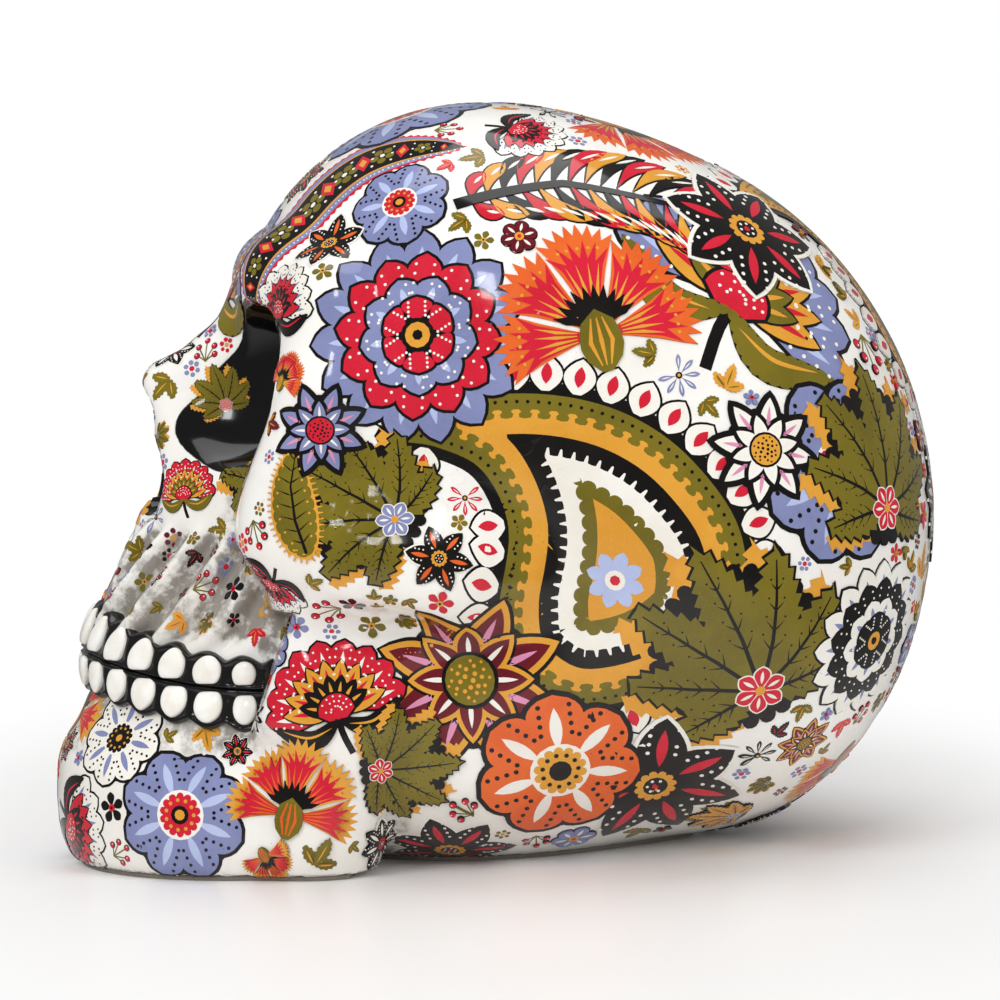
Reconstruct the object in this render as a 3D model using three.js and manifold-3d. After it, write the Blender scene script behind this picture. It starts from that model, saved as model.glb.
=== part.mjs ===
// Skull ornament: a hollow cast skull with its jaw closed, an upper and a lower strip of
// gum let into the mouth, fourteen teeth in each strip and a felt sheet under the base.
// Millimetres, +Z up. The face looks along -Y and the skull's left side is +X. The origin
// is under the middle of the skull, on the surface that it stands on.
import * as THREE from "three";
import { mergeVertices } from "three/addons/utils/BufferGeometryUtils.js";
import Module from "manifold-3d";

// Overall sizes
const skullWidth = 124;
const skullLength = 187;
const skullHeight = 157.5;
const wallThickness = 6;
const feltThickness = 1;
const pourHoleDiameter = 22;

// Eye sockets and nose
const eyeWidth = 31;
const eyeHeight = 36;
const eyeDepth = 25;
const nostrilWidth = 13.2;
const nostrilHeight = 16;
const nostrilDepth = 17;
const noseTopWidth = 11;
const noseTopHeight = 23;
const noseTopDepth = 14;

// Mouth: the arch that both rows of teeth follow, seen from above as half an ellipse
const archHalfWidth = 30.5;
const archReach = 38.6;
const biteHeight = 38.5;
const biteRise = 6.8;
const upperGumHeight = 10;
const lowerGumHeight = 8.4;
const gumDepth = 3.2;
const gumProud = 0.8;

// Teeth
const teethPerSide = 7;
const toothWidth = 6;
const upperToothHeight = 8.2;
const lowerToothHeight = 7.2;
const toothDepth = 2;

// Gap between a piece and the pocket that holds it
const clearance = 0.3;
// How far a cutting shape runs past what it cuts
const overrun = 3;

// Fineness of the faceted surfaces
const skinDetail = 14;
const cavityDetail = 5;
const faceDensityShare = 0.3;
const stepsPerTooth = 2;
const gumRows = 2;
const toothSides = 8;
const toothRings = 6;
const holeSides = 24;
const biteSteps = 400;
// The search for a surface goes outwards by this share of the length, and then halves
// its last stride this many times
const strideShare = 1 / 150;
const halvings = 20;
// Points nearer than this share of the clearance are one point
const weldShare = 0.001;

// Places and reaches of the rounded forms. Across is a share of half the width, along is
// a share of the length from the middle (the face is negative), up is a share of the
// height, and blend is a share of the height.
const formShares = {
  craniumBack: { at: [0, 0.224, 0.44], reach: [0.996, 0.278, 0.43], blend: 0 },
  craniumFront: { at: [0, -0.004, 0.675], reach: [0.87, 0.279, 0.326], blend: 0.216 },
  underside: { at: [0, -0.063, 0.127], reach: [0.68, 0.242, 0.137], blend: 0.133 },
  neck: { at: [0, 0.014, 0.262], reach: [0.79, 0.225, 0.254], blend: 0.089 },
  sideOfFace: { at: [0, -0.09, 0.515], reach: [0.84, 0.18, 0.26], blend: 0.08 },
  cheeks: { at: [0, -0.237, 0.5], reach: [0.45, 0.128, 0.114], blend: 0.045 },
  noseRoot: { at: [0, -0.262, 0.56], reach: [0.26, 0.1, 0.13], blend: 0.04 },
};
const hollowShares = {
  underArch: { at: [0.92, -0.232, 0.303], reach: [0.194, 0.08, 0.057], blend: 0.032 },
  besideMaxilla: { at: [0.58, -0.369, 0.378], reach: [0.16, 0.091, 0.057], blend: 0.032 },
  besideChin: { at: [0.935, -0.363, 0.168], reach: [0.42, 0.139, 0.044], blend: 0.038 },
  temple: { at: [1.065, -0.16, 0.55], reach: [0.242, 0.09, 0.1], blend: 0.051 },
};
const eyeShares = { at: [0.41, -0.312, 0.643] };
const nostrilShares = { at: [0.085, -0.405, 0.518] };
const noseTopShares = { at: [0, -0.4, 0.565] };

// Bony ridges, as runs of balls: across, along and up as above, then the radius as a
// share of the height.
const ridgeShares = {
  brow: [
    [0, -0.231, 0.741, 0.06],
    [0.3, -0.222, 0.772, 0.058],
    [0.56, -0.18, 0.745, 0.056],
  ],
  besideEye: [
    [0.58, -0.178, 0.735, 0.06],
    [0.64, -0.192, 0.626, 0.056],
    [0.62, -0.21, 0.525, 0.066],
    [0.58, -0.215, 0.455, 0.083],
  ],
  cheekArch: [
    [0.58, -0.215, 0.455, 0.083],
    [0.67, -0.143, 0.428, 0.08],
    [0.735, -0.06, 0.405, 0.07],
    [0.75, 0, 0.395, 0.05],
  ],
  noseBridge: [
    [0, -0.232, 0.71, 0.06],
    [0, -0.287, 0.667, 0.046],
    [0, -0.36, 0.64, 0.029],
  ],
  noseSide: [
    [0.03, -0.355, 0.628, 0.03],
    [0.12, -0.338, 0.56, 0.036],
    [0.18, -0.33, 0.49, 0.045],
  ],
  noseSpine: [
    [0, -0.345, 0.466, 0.051],
    [0, -0.372, 0.448, 0.025],
  ],
  jawFront: [
    [0.532, -0.198, 0.352, 0.063],
    [0.508, -0.229, 0.207, 0.073],
    [0.508, -0.216, 0.054, 0.076],
  ],
  jawRear: [
    [0.58, -0.123, 0.343, 0.057],
    [0.565, -0.155, 0.205, 0.058],
    [0.54, -0.215, 0.05, 0.055],
  ],
};
const ridgeBlendShares = {
  brow: 0.038,
  besideEye: 0.051,
  cheekArch: 0.05,
  noseBridge: 0.032,
  noseSide: 0.032,
  noseSpine: 0.032,
  jawFront: 0.044,
  jawRear: 0.044,
};

// The lower face, level by level: height as a share of the skull's height, then how far
// it reaches forward and sideways as shares of the arch of teeth.
const muzzleShares = [
  [-0.03, 1.012, 1.2],
  [0, 1.082, 1.26],
  [0.019, 1.147, 1.31],
  [0.057, 1.192, 1.33],
  [0.133, 1.187, 1.295],
  [0.165, 1.145, 1.21],
  [0.197, 1.06, 1.1],
  [0.235, 1.0, 1.035],
  [0.292, 1, 1],
  [0.356, 0.9, 0.95],
  [0.394, 0.815, 0.88],
  [0.432, 0.73, 0.81],
  [0.47, 0.65, 0.72],
  [0.52, 0.5, 0.56],
];
const archCentreShare = -0.2533;
const muzzleBlendShare = 0.038;
const muzzleEndBlendShare = 0.051;
const muzzleBackShare = -0.165;

// Share of a quarter turn that the gums run to, the height of the upper gum at its back
// end, and the scallop round each tooth.
const gumEndShare = 0.95;
const upperGumBackShare = 0.66;
const scallopShare = 0.12;

// Teeth from the middle to the back, as shares of the sizes above
const upperHeightShares = [1, 0.96, 0.93, 0.92, 0.85, 0.76, 0.62];
const lowerHeightShares = [0.9, 0.95, 1, 1, 0.98, 0.95, 0.88];
const toothWidthShares = [0.95, 0.88, 0.96, 1, 0.98, 1, 0.82];
const toothTaperShare = 0.22;

// Where the pouring hole is, and the middle from which the skull is measured outwards
const pourHoleShare = -0.05;
const middleShares = [0, -0.06, 0.46];

const colours = {
  skull: "#efe9dc",
  gum: "#0b0a0a",
  tooth: "#f4f1e8",
  felt: "#3a2a20",
};

const halfWidth = skullWidth / 2;
const archCentre = archCentreShare * skullLength;
const base = feltThickness;

// A share triple as a place
function place([across, along, up]) {
  return [across * halfWidth, along * skullLength, up * skullHeight];
}

// Smooth joining and cutting of distances
function join(a, b, blend) {
  const share = THREE.MathUtils.clamp(0.5 + (b - a) / (2 * blend), 0, 1);
  return THREE.MathUtils.lerp(b, a, share) - blend * share * (1 - share);
}

function cut(a, b, blend) {
  return -join(-a, b, blend);
}

// Distance to an ellipsoid, negative inside
function roundForm(at, reach) {
  return ([x, y, z]) => {
    const u = [x - at[0], y - at[1], z - at[2]];
    const near = Math.hypot(u[0] / reach[0], u[1] / reach[1], u[2] / reach[2]);
    const slope = Math.hypot(u[0] / reach[0] ** 2, u[1] / reach[1] ** 2, u[2] / reach[2] ** 2);
    return slope === 0 ? -Math.min(...reach) : (near * (near - 1)) / slope;
  };
}

// Distance to a run of balls joined by cones
function ridge(balls, blend) {
  const points = balls.map((ball) => place(ball));
  const radii = balls.map((ball) => ball[3] * skullHeight);
  const spans = points.slice(1).map((end, i) => {
    const start = points[i];
    const run = [end[0] - start[0], end[1] - start[1], end[2] - start[2]];
    const runSquared = run[0] ** 2 + run[1] ** 2 + run[2] ** 2;
    return { start, run, runSquared, from: radii[i], to: radii[i + 1] };
  });
  return ([x, y, z]) => {
    let distance = Infinity;
    for (const { start, run, runSquared, from, to } of spans) {
      const u = [x - start[0], y - start[1], z - start[2]];
      const along = (u[0] * run[0] + u[1] * run[1] + u[2] * run[2]) / runSquared;
      const t = THREE.MathUtils.clamp(along, 0, 1);
      const off = Math.hypot(u[0] - t * run[0], u[1] - t * run[1], u[2] - t * run[2]);
      const next = off - THREE.MathUtils.lerp(from, to, t);
      distance = distance === Infinity ? next : join(distance, next, blend);
    }
    return distance;
  };
}

// How far the lower face reaches forward and sideways at a height, eased from level to
// level by a smooth curve
function muzzleAt(z) {
  const up = z / skullHeight;
  const last = muzzleShares.length - 1;
  let i = 0;
  while (i < last - 1 && up > muzzleShares[i + 1][0]) i += 1;
  const slope = (k, column) => {
    const low = muzzleShares[Math.max(k - 1, 0)];
    const high = muzzleShares[Math.min(k + 1, last)];
    return (high[column] - low[column]) / (high[0] - low[0]);
  };
  const span = muzzleShares[i + 1][0] - muzzleShares[i][0];
  const t = THREE.MathUtils.clamp((up - muzzleShares[i][0]) / span, 0, 1);
  const ease = (column) => {
    const start = muzzleShares[i][column];
    const end = muzzleShares[i + 1][column];
    const bend = t * (1 - t) * span;
    const swing = (1 - t) * slope(i, column) - t * slope(i + 1, column);
    return start + (end - start) * t * t * (3 - 2 * t) + bend * swing;
  };
  return { reach: ease(1) * archReach, width: ease(2) * archHalfWidth };
}

function muzzle([x, y, z]) {
  const { reach, width } = muzzleAt(z);
  const forward = Math.min(y - archCentre, 0);
  const sides = (Math.hypot(x / width, forward / reach) - 1) * width;
  const blend = muzzleEndBlendShare * skullHeight;
  const withBack = -join(-sides, muzzleBackShare * skullLength - y, blend);
  const top = muzzleShares[muzzleShares.length - 1][0] * skullHeight;
  return -join(-withBack, top - z, blend);
}

const blendOf = (share) => share * skullHeight;

const forms = Object.values(formShares).map(({ at, reach, blend }) => ({
  distance: roundForm(place(at), place(reach)),
  blend: blendOf(blend),
}));
const ridges = Object.entries(ridgeShares).map(([name, balls]) => ({
  distance: ridge(balls, blendOf(ridgeBlendShares[name])),
  blend: blendOf(ridgeBlendShares[name]),
}));
const hollows = Object.values(hollowShares).map(({ at, reach, blend }) => ({
  distance: roundForm(place(at), place(reach)),
  blend: blendOf(blend),
}));

// The skull's outer skin before the eyes, the nose and the mouth are cut
function skin([x, y, z]) {
  const point = [Math.abs(x), y, z];
  let distance = forms[0].distance(point);
  for (const form of forms.slice(1)) distance = join(distance, form.distance(point), form.blend);
  distance = join(distance, muzzle(point), blendOf(muzzleBlendShare));
  for (const form of ridges) distance = join(distance, form.distance(point), form.blend);
  for (const form of hollows) distance = cut(distance, form.distance(point), form.blend);
  return Math.max(distance, -overrun - z);
}

const eyeReach = [eyeWidth / 2, eyeDepth, eyeHeight / 2];
const nostrilReach = [nostrilWidth / 2, nostrilDepth, nostrilHeight / 2];
const noseTopReach = [noseTopWidth / 2, noseTopDepth, noseTopHeight / 2];
const eyeHollow = roundForm(place(eyeShares.at), eyeReach);
const nostrilHollow = roundForm(place(nostrilShares.at), nostrilReach);
const noseTopHollow = roundForm(place(noseTopShares.at), noseTopReach);

// The inside of the casting keeps the wall behind the skin, the eyes and the nose
function inside([x, y, z]) {
  const point = [Math.abs(x), y, z];
  const noseHollow = Math.min(nostrilHollow(point), noseTopHollow(point));
  return Math.max(skin(point), -eyeHollow(point), -noseHollow, base - z) + wallThickness;
}

// Manifold solids from three.js geometries, and back
const wasm = await Module();
wasm.setup();

function solidOf(geometry) {
  const bare = geometry.clone();
  bare.deleteAttribute("normal");
  bare.deleteAttribute("uv");
  const merged = mergeVertices(bare, weldShare * clearance);
  return new wasm.Manifold(
    new wasm.Mesh({
      numProp: 3,
      vertProperties: new Float32Array(merged.attributes.position.array),
      triVerts: new Uint32Array(merged.index.array),
    }),
  );
}

function geometryOf(solid) {
  const { vertProperties, triVerts } = solid.getMesh();
  const geometry = new THREE.BufferGeometry();
  geometry.setAttribute("position", new THREE.BufferAttribute(vertProperties, 3));
  geometry.setIndex(new THREE.BufferAttribute(triVerts, 1));
  geometry.computeVertexNormals();
  return geometry;
}

// A closed surface found by going out from the middle until the distance turns positive
function starSurface(distance, detail) {
  const geometry = new THREE.IcosahedronGeometry(1, detail);
  geometry.deleteAttribute("normal");
  geometry.deleteAttribute("uv");
  const sphere = mergeVertices(geometry);
  const middle = new THREE.Vector3(...place(middleShares));
  const positions = sphere.attributes.position;
  const direction = new THREE.Vector3();
  const point = new THREE.Vector3();
  const stride = strideShare * skullLength;
  for (let i = 0; i < positions.count; i += 1) {
    direction.fromBufferAttribute(positions, i);
    direction.y -= faceDensityShare;
    direction.normalize();
    const at = (r) => distance(point.copy(middle).addScaledVector(direction, r).toArray());
    let outer = 0;
    while (at(outer) < 0) outer += stride;
    let inner = outer - stride;
    for (let k = 0; k < halvings; k += 1) {
      const half = (inner + outer) / 2;
      if (at(half) < 0) inner = half;
      else outer = half;
    }
    point.copy(middle).addScaledVector(direction, outer);
    positions.setXYZ(i, point.x, point.y, point.z);
  }
  return sphere;
}

// A place on the arch: the angle from the middle of the mouth, the height and how far in
// front of the lower face it lies
function archPoint(angle, z, offset) {
  const { reach, width } = muzzleAt(z);
  const x = (width + offset) * Math.sin(angle);
  const y = archCentre - (reach + offset) * Math.cos(angle);
  return new THREE.Vector3(x, y, z);
}

const biteAt = (angle) => biteHeight + biteRise * Math.cos(angle) ** 2;

// Angles at equal steps along the bite line, so that the teeth stand evenly
const gumEnd = (gumEndShare * Math.PI) / 2;
const biteLine = Array.from({ length: biteSteps + 1 }, (_, i) => {
  const angle = (i / biteSteps) * gumEnd;
  return { angle, point: archPoint(angle, biteAt(angle), 0) };
});
let travelled = 0;
biteLine.forEach((sample, i) => {
  if (i > 0) travelled += sample.point.distanceTo(biteLine[i - 1].point);
  sample.along = travelled;
});

// The angle at so many teeth from the middle, to the left for positive counts
function angleAt(teeth) {
  const target = (Math.abs(teeth) / teethPerSide) * travelled;
  const reached = (sample) => sample.along >= target - weldShare * clearance;
  const next = Math.max(biteLine.findIndex(reached), 1);
  const [low, high] = [biteLine[next - 1], biteLine[next]];
  const t = (target - low.along) / (high.along - low.along);
  return Math.sign(teeth) * THREE.MathUtils.lerp(low.angle, high.angle, t);
}

// The strip's far edge from the bite line, scalloped round each tooth
function gumEdge(teeth, height, backShare) {
  const angle = angleAt(teeth);
  const tall = height * THREE.MathUtils.lerp(1, backShare, Math.sin(angle) ** 2);
  return tall + scallopShare * toothWidth * (Math.sin(teeth * Math.PI) ** 2 - 1);
}

const upperEdge = (teeth) => gumEdge(teeth, upperGumHeight, upperGumBackShare);
const lowerEdge = (teeth) => -gumEdge(teeth, lowerGumHeight, 1);

// A closed strip along the arch between two edges, which are heights above the bite line
function archStrip({ lowEdge, highEdge, inner, outer, past }) {
  const steps = 2 * teethPerSide * stepsPerTooth;
  const positions = [];
  const indices = [];
  const rows = gumRows + 1;
  const ring = 2 * rows;
  for (let i = 0; i <= steps; i += 1) {
    const teeth = i / stepsPerTooth - teethPerSide;
    const end = i === 0 || i === steps ? Math.sign(teeth) * past : 0;
    const angle = angleAt(teeth) + end / archHalfWidth;
    const low = biteAt(angle) + lowEdge(teeth);
    const high = biteAt(angle) + highEdge(teeth);
    for (let k = 0; k < ring; k += 1) {
      const row = k < rows ? k : ring - 1 - k;
      const z = THREE.MathUtils.lerp(low, high, row / gumRows);
      positions.push(...archPoint(angle, z, k < rows ? outer : inner).toArray());
    }
  }
  const quad = (a, b, c, d) => indices.push(a, b, c, a, c, d);
  for (let i = 0; i < steps; i += 1) {
    for (let k = 0; k < ring; k += 1) {
      const next = (k + 1) % ring;
      quad(i * ring + k, (i + 1) * ring + k, (i + 1) * ring + next, i * ring + next);
    }
  }
  const last = steps * ring;
  for (let row = 0; row < gumRows; row += 1) {
    quad(row, row + 1, ring - 2 - row, ring - 1 - row);
    quad(last + row, last + ring - 1 - row, last + ring - 2 - row, last + row + 1);
  }
  const geometry = new THREE.BufferGeometry();
  geometry.setAttribute("position", new THREE.Float32BufferAttribute(positions, 3));
  geometry.setIndex(indices);
  return geometry;
}

// A tooth about its own middle: X along the row, -Y outwards, narrower at the root
function toothShape(width, height, rootUp, grown) {
  const geometry = new THREE.SphereGeometry(1, toothSides, toothRings);
  geometry.rotateX(Math.PI / 2);
  const positions = geometry.attributes.position;
  for (let i = 0; i < positions.count; i += 1) {
    const toRoot = rootUp ? positions.getZ(i) : -positions.getZ(i);
    const x = positions.getX(i) * (1 - toothTaperShare * toRoot) * (width / 2 + grown);
    const y = positions.getY(i) * (toothDepth + grown);
    positions.setXYZ(i, x, y, positions.getZ(i) * (height / 2 + grown));
  }
  return geometry;
}

// Where a tooth sits: in the middle of its strip, leaning with the lower face
function toothSeat(teeth, edge) {
  const angle = angleAt(teeth);
  const z = biteAt(angle) + edge(teeth) / 2;
  const middle = archPoint(angle, z, gumProud);
  const ahead = archPoint(angle + clearance / archHalfWidth, z, gumProud);
  const above = archPoint(angle, z + clearance, gumProud);
  const across = ahead.sub(middle).normalize();
  const inward = above.sub(middle).cross(across).normalize();
  const up = across.clone().cross(inward);
  return new THREE.Matrix4().makeBasis(across, inward, up).setPosition(middle);
}

function slab(low, high) {
  const geometry = new THREE.BoxGeometry(2 * skullWidth, 2 * skullLength, high - low);
  return solidOf(geometry.translate(0, 0, (low + high) / 2));
}

function ellipsoid([x, y, z], reach, side) {
  const geometry = new THREE.SphereGeometry(1, holeSides, holeSides / 2);
  return solidOf(geometry.rotateX(Math.PI / 2).scale(...reach).translate(side * x, y, z));
}

const part = new THREE.Group();

function addPiece(name, geometry, material) {
  const mesh = new THREE.Mesh(geometry, material);
  mesh.name = name;
  part.add(mesh);
  return mesh;
}

const material = (color, roughness) => new THREE.MeshStandardMaterial({ color, roughness, metalness: 0 });
const finishes = {
  skull: material(colours.skull, 0.15),
  gum: material(colours.gum, 0.12),
  tooth: material(colours.tooth, 0.2),
  felt: material(colours.felt, 0.95),
};

// The casting without its mouth: skin, eyes and nose, and the hollow inside with the
// hole it was poured through
const outside = solidOf(starSurface(skin, skinDetail));
const sides = [1, -1];
const eyes = sides.map((side) => ellipsoid(place(eyeShares.at), eyeReach, side));
const nostrils = sides.map((side) => ellipsoid(place(nostrilShares.at), nostrilReach, side));
const nose = ellipsoid(place(noseTopShares.at), noseTopReach, 1).add(nostrils[0]).add(nostrils[1]);
const standing = outside.subtract(slab(-2 * skullHeight, 0));
const carved = standing.subtract(eyes[0]).subtract(eyes[1]).subtract(nose);
const cavity = solidOf(starSurface(inside, cavityDetail));
const pourHoleHeight = base + wallThickness + overrun;
const pourHole = solidOf(
  new THREE.CylinderGeometry(pourHoleDiameter / 2, pourHoleDiameter / 2, pourHoleHeight + base, holeSides)
    .rotateX(Math.PI / 2)
    .translate(0, pourHoleShare * skullLength, (pourHoleHeight + base) / 2),
);

// Both strips' pockets are let into the casting, open to the front
const halfGap = clearance / 2;
const pocket = { inner: -gumDepth - clearance, outer: archHalfWidth / 2, past: clearance };
const upperPocket = solidOf(
  archStrip({ ...pocket, lowEdge: () => -halfGap, highEdge: (teeth) => upperEdge(teeth) + clearance }),
);
const lowerPocket = solidOf(
  archStrip({ ...pocket, lowEdge: (teeth) => lowerEdge(teeth) - clearance, highEdge: () => halfGap }),
);
const mouth = upperPocket.add(lowerPocket);

const feltSlab = slab(-overrun, base);
const shell = carved.subtract(mouth).subtract(cavity).subtract(feltSlab).subtract(pourHole);
const felt = standing.intersect(feltSlab);
addPiece("skull_shell", geometryOf(shell), finishes.skull);
addPiece("base_felt", geometryOf(felt), finishes.felt);

// Both strips of gum with the teeth let into them
const rows = [
  {
    name: "upper",
    edge: upperEdge,
    lowEdge: () => halfGap,
    highEdge: upperEdge,
    height: upperToothHeight,
    heightShares: upperHeightShares,
    rootUp: true,
  },
  {
    name: "lower",
    edge: lowerEdge,
    lowEdge: lowerEdge,
    highEdge: () => -halfGap,
    height: lowerToothHeight,
    heightShares: lowerHeightShares,
    rootUp: false,
  },
];
for (const row of rows) {
  const inner = -gumDepth;
  const strip = { lowEdge: row.lowEdge, highEdge: row.highEdge, inner, outer: gumProud, past: 0 };
  let gum = solidOf(archStrip(strip));
  for (const [side, sideName] of [[1, "left"], [-1, "right"]]) {
    for (let k = 0; k < teethPerSide; k += 1) {
      const seat = toothSeat(side * (k + 0.5), row.edge);
      const width = toothWidth * toothWidthShares[k];
      const height = row.height * row.heightShares[k];
      const hollow = toothShape(width, height, row.rootUp, clearance).applyMatrix4(seat);
      gum = gum.subtract(solidOf(hollow));
      const shape = geometryOf(solidOf(toothShape(width, height, row.rootUp, 0)));
      const tooth = addPiece(`${row.name}_${sideName}_tooth_${k + 1}`, shape, finishes.tooth);
      tooth.applyMatrix4(seat);
    }
  }
  addPiece(`${row.name}_gum`, geometryOf(gum), finishes.gum);
}

export default part;
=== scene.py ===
import cmath
import math
import random
from itertools import product

import bpy
import numpy as np
from mathutils import Matrix, kdtree
from mathutils.geometry import delaunay_2d_cdt


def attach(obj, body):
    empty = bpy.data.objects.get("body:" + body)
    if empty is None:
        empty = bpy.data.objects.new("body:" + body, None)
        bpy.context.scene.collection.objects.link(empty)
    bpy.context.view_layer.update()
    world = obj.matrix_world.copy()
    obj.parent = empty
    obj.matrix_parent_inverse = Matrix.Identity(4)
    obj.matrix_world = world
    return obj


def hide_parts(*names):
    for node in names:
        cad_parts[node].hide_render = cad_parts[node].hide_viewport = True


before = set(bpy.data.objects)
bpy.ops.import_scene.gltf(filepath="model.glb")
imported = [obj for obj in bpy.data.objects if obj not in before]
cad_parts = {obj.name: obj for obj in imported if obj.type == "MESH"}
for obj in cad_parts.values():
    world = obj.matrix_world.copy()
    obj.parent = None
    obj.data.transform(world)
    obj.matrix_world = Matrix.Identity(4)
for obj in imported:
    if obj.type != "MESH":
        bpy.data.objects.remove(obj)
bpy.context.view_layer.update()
scene = bpy.context.scene
print("frame loaded:", len(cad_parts), "nodes")

# Camera
cameraView = {
    "azimuth": 85.0,
    "elevation": 4.5,
    "roll": 1.7,
    "distance": 1000.0,
    "target": (0.0, 2.3, 73.4),
    "lens": 169.2,
    "sensor": 36.0,
    "imageSize": 1000,
}


def cameraAxes(view):
    turn, tilt, roll = (math.radians(view[key]) for key in ("azimuth", "elevation", "roll"))
    ahead = np.array((-math.sin(turn) * math.cos(tilt), math.cos(turn) * math.cos(tilt), -math.sin(tilt)))
    across = np.array((math.cos(turn), math.sin(turn), 0.0))
    up = np.cross(across, ahead)
    return across * math.cos(roll) - up * math.sin(roll), up * math.cos(roll) + across * math.sin(roll), ahead


def linked(name, data):
    made = bpy.data.objects.new(name, data)
    scene.collection.objects.link(made)
    return made


def seated(at, axes):
    # a matrix from a place in metres and three directions
    return Matrix.Translation(tuple(at)) @ Matrix(np.column_stack(axes).tolist()).to_4x4()


def unit(vector):
    return vector / np.linalg.norm(vector)


def makeCamera(view):
    right, up, ahead = cameraAxes(view)
    camera = linked("camera", bpy.data.cameras.new("camera"))
    camera.data.lens = view["lens"]
    camera.data.sensor_width = view["sensor"]
    at = (np.array(view["target"]) - ahead * view["distance"]) / 1000
    camera.matrix_world = seated(at, (right, up, -ahead))
    scene.camera = camera


makeCamera(cameraView)
print("camera placed")

# Shape of the skull
skull = {
    "halfWidth": 62.0,
    "length": 187.0,
    "height": 157.5,
    "floor": 1.0,
    "forms": {  # place, reach and blend, as shares
        "craniumBack": ((0, 0.224, 0.44), (0.996, 0.278, 0.43), 0),
        "craniumFront": ((0, -0.004, 0.675), (0.87, 0.279, 0.326), 0.216),
        "underside": ((0, -0.063, 0.127), (0.68, 0.242, 0.137), 0.133),
        "neck": ((0, 0.014, 0.262), (0.79, 0.225, 0.254), 0.089),
        "sideOfFace": ((0, -0.09, 0.515), (0.84, 0.18, 0.26), 0.08),
        "cheeks": ((0, -0.237, 0.5), (0.45, 0.128, 0.114), 0.045),
        "noseRoot": ((0, -0.262, 0.56), (0.26, 0.1, 0.13), 0.04),
    },
    "hollows": {
        "underArch": ((0.865, -0.2, 0.318), (0.205, 0.125, 0.046), 0.014),
        "besideMaxilla": ((0.58, -0.369, 0.378), (0.16, 0.091, 0.057), 0.032),
        "besideChin": ((0.935, -0.363, 0.168), (0.42, 0.139, 0.044), 0.038),
        "temple": ((1.065, -0.16, 0.55), (0.242, 0.09, 0.1), 0.051),
    },
    "ridges": {  # balls as across, along, up and radius, then the blend
        "brow": (((0, -0.231, 0.741, 0.06), (0.3, -0.222, 0.772, 0.058), (0.56, -0.18, 0.745, 0.056)), 0.038),
        "besideEye": (
            ((0.58, -0.178, 0.735, 0.06), (0.64, -0.192, 0.626, 0.056), (0.62, -0.21, 0.525, 0.066),
             (0.58, -0.215, 0.455, 0.083)), 0.051),
        "cheekArch": (
            ((0.58, -0.215, 0.455, 0.083), (0.67, -0.143, 0.428, 0.08), (0.735, -0.06, 0.405, 0.07),
             (0.75, 0, 0.395, 0.05)), 0.05),
        "noseBridge": (((0, -0.232, 0.71, 0.06), (0, -0.287, 0.667, 0.046), (0, -0.36, 0.64, 0.029)), 0.032),
        "noseSide": (((0.03, -0.355, 0.628, 0.03), (0.12, -0.338, 0.56, 0.036), (0.18, -0.33, 0.49, 0.045)), 0.032),
        "noseSpine": (((0, -0.345, 0.466, 0.051), (0, -0.372, 0.448, 0.025)), 0.032),
        "jawFront": (
            ((0.532, -0.198, 0.352, 0.063), (0.508, -0.229, 0.207, 0.073), (0.508, -0.216, 0.054, 0.076)), 0.044),
        "jawRear": (
            ((0.58, -0.123, 0.343, 0.057), (0.565, -0.155, 0.205, 0.058), (0.54, -0.215, 0.05, 0.055)), 0.044),
    },
    "muzzle": (  # height, reach and width of the lower face, level by level
        (-0.03, 1.012, 1.2), (0, 1.082, 1.26), (0.019, 1.147, 1.31), (0.057, 1.192, 1.33), (0.133, 1.187, 1.295),
        (0.165, 1.145, 1.21), (0.197, 1.06, 1.1), (0.235, 1, 1.035), (0.292, 1, 1), (0.356, 0.9, 0.95),
        (0.394, 0.815, 0.88), (0.432, 0.73, 0.81), (0.47, 0.65, 0.72), (0.52, 0.5, 0.56),
    ),
    "muzzleBlend": 0.038,
    "muzzleEndBlend": 0.051,
    "muzzleBack": -0.165,
    "eye": ((0.41, -0.312, 0.643), (15.5, 25, 18), 1.6),  # place as shares, reach and rounding in mm
    "nostril": ((0.085, -0.405, 0.518), (6.6, 17, 8), 2.0),
    "noseTop": ((0, -0.4, 0.565), (5.5, 14, 11.5), 1.0),
    "ribs": {"height": 1.9, "slant": 0.085, "perTooth": 0.72, "from": 45.0, "to": 74.0, "fade": 6.0, "middle": 0.35},
    "mouthRecess": {
        "low": 9.4, "top": 55.0, "stepAlong": -45.3, "stepUp": 51.0, "stepLean": 0.39, "behind": 0.1, "blend": 1.3,
    },
}
mouth = {
    "halfWidth": 30.5,
    "reach": 38.6,
    "centre": -0.2533 * 187.0,
    "biteHeight": 38.5,
    "biteRise": 6.8,
    "teethPerSide": 7,
    "gumEnd": 0.95 * math.pi / 2,
    "upperGum": 10.0,
    "lowerGum": 8.4,
    "upperBack": 0.66,
    "scallop": 1.5,
    "proud": 0.8,
    "depth": 3.2,
    "gap": 0.03,
}


def place(share):
    return np.array((share[0] * skull["halfWidth"], share[1] * skull["length"], share[2] * skull["height"]))


def smoothJoin(a, b, blend):
    share = np.clip(0.5 + (b - a) / (2 * blend), 0, 1)
    return b * (1 - share) + a * share - blend * share * (1 - share)


def smoothCut(a, b, blend):
    return -smoothJoin(-a, b, blend)


def easeStep(low, high, values):
    share = np.clip((values - low) / (high - low), 0, 1)
    return share * share * (3 - 2 * share)


def window(low, high, rise, fall, values):
    return easeStep(low, low + rise, values) * (1 - easeStep(high - fall, high, values))


def roundForm(points, middle, reach):
    offset = points - middle
    near = np.linalg.norm(offset / reach, axis=1)
    slope = np.linalg.norm(offset / np.square(reach), axis=1)
    return near * (near - 1) / np.maximum(slope, 1e-9)


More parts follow.
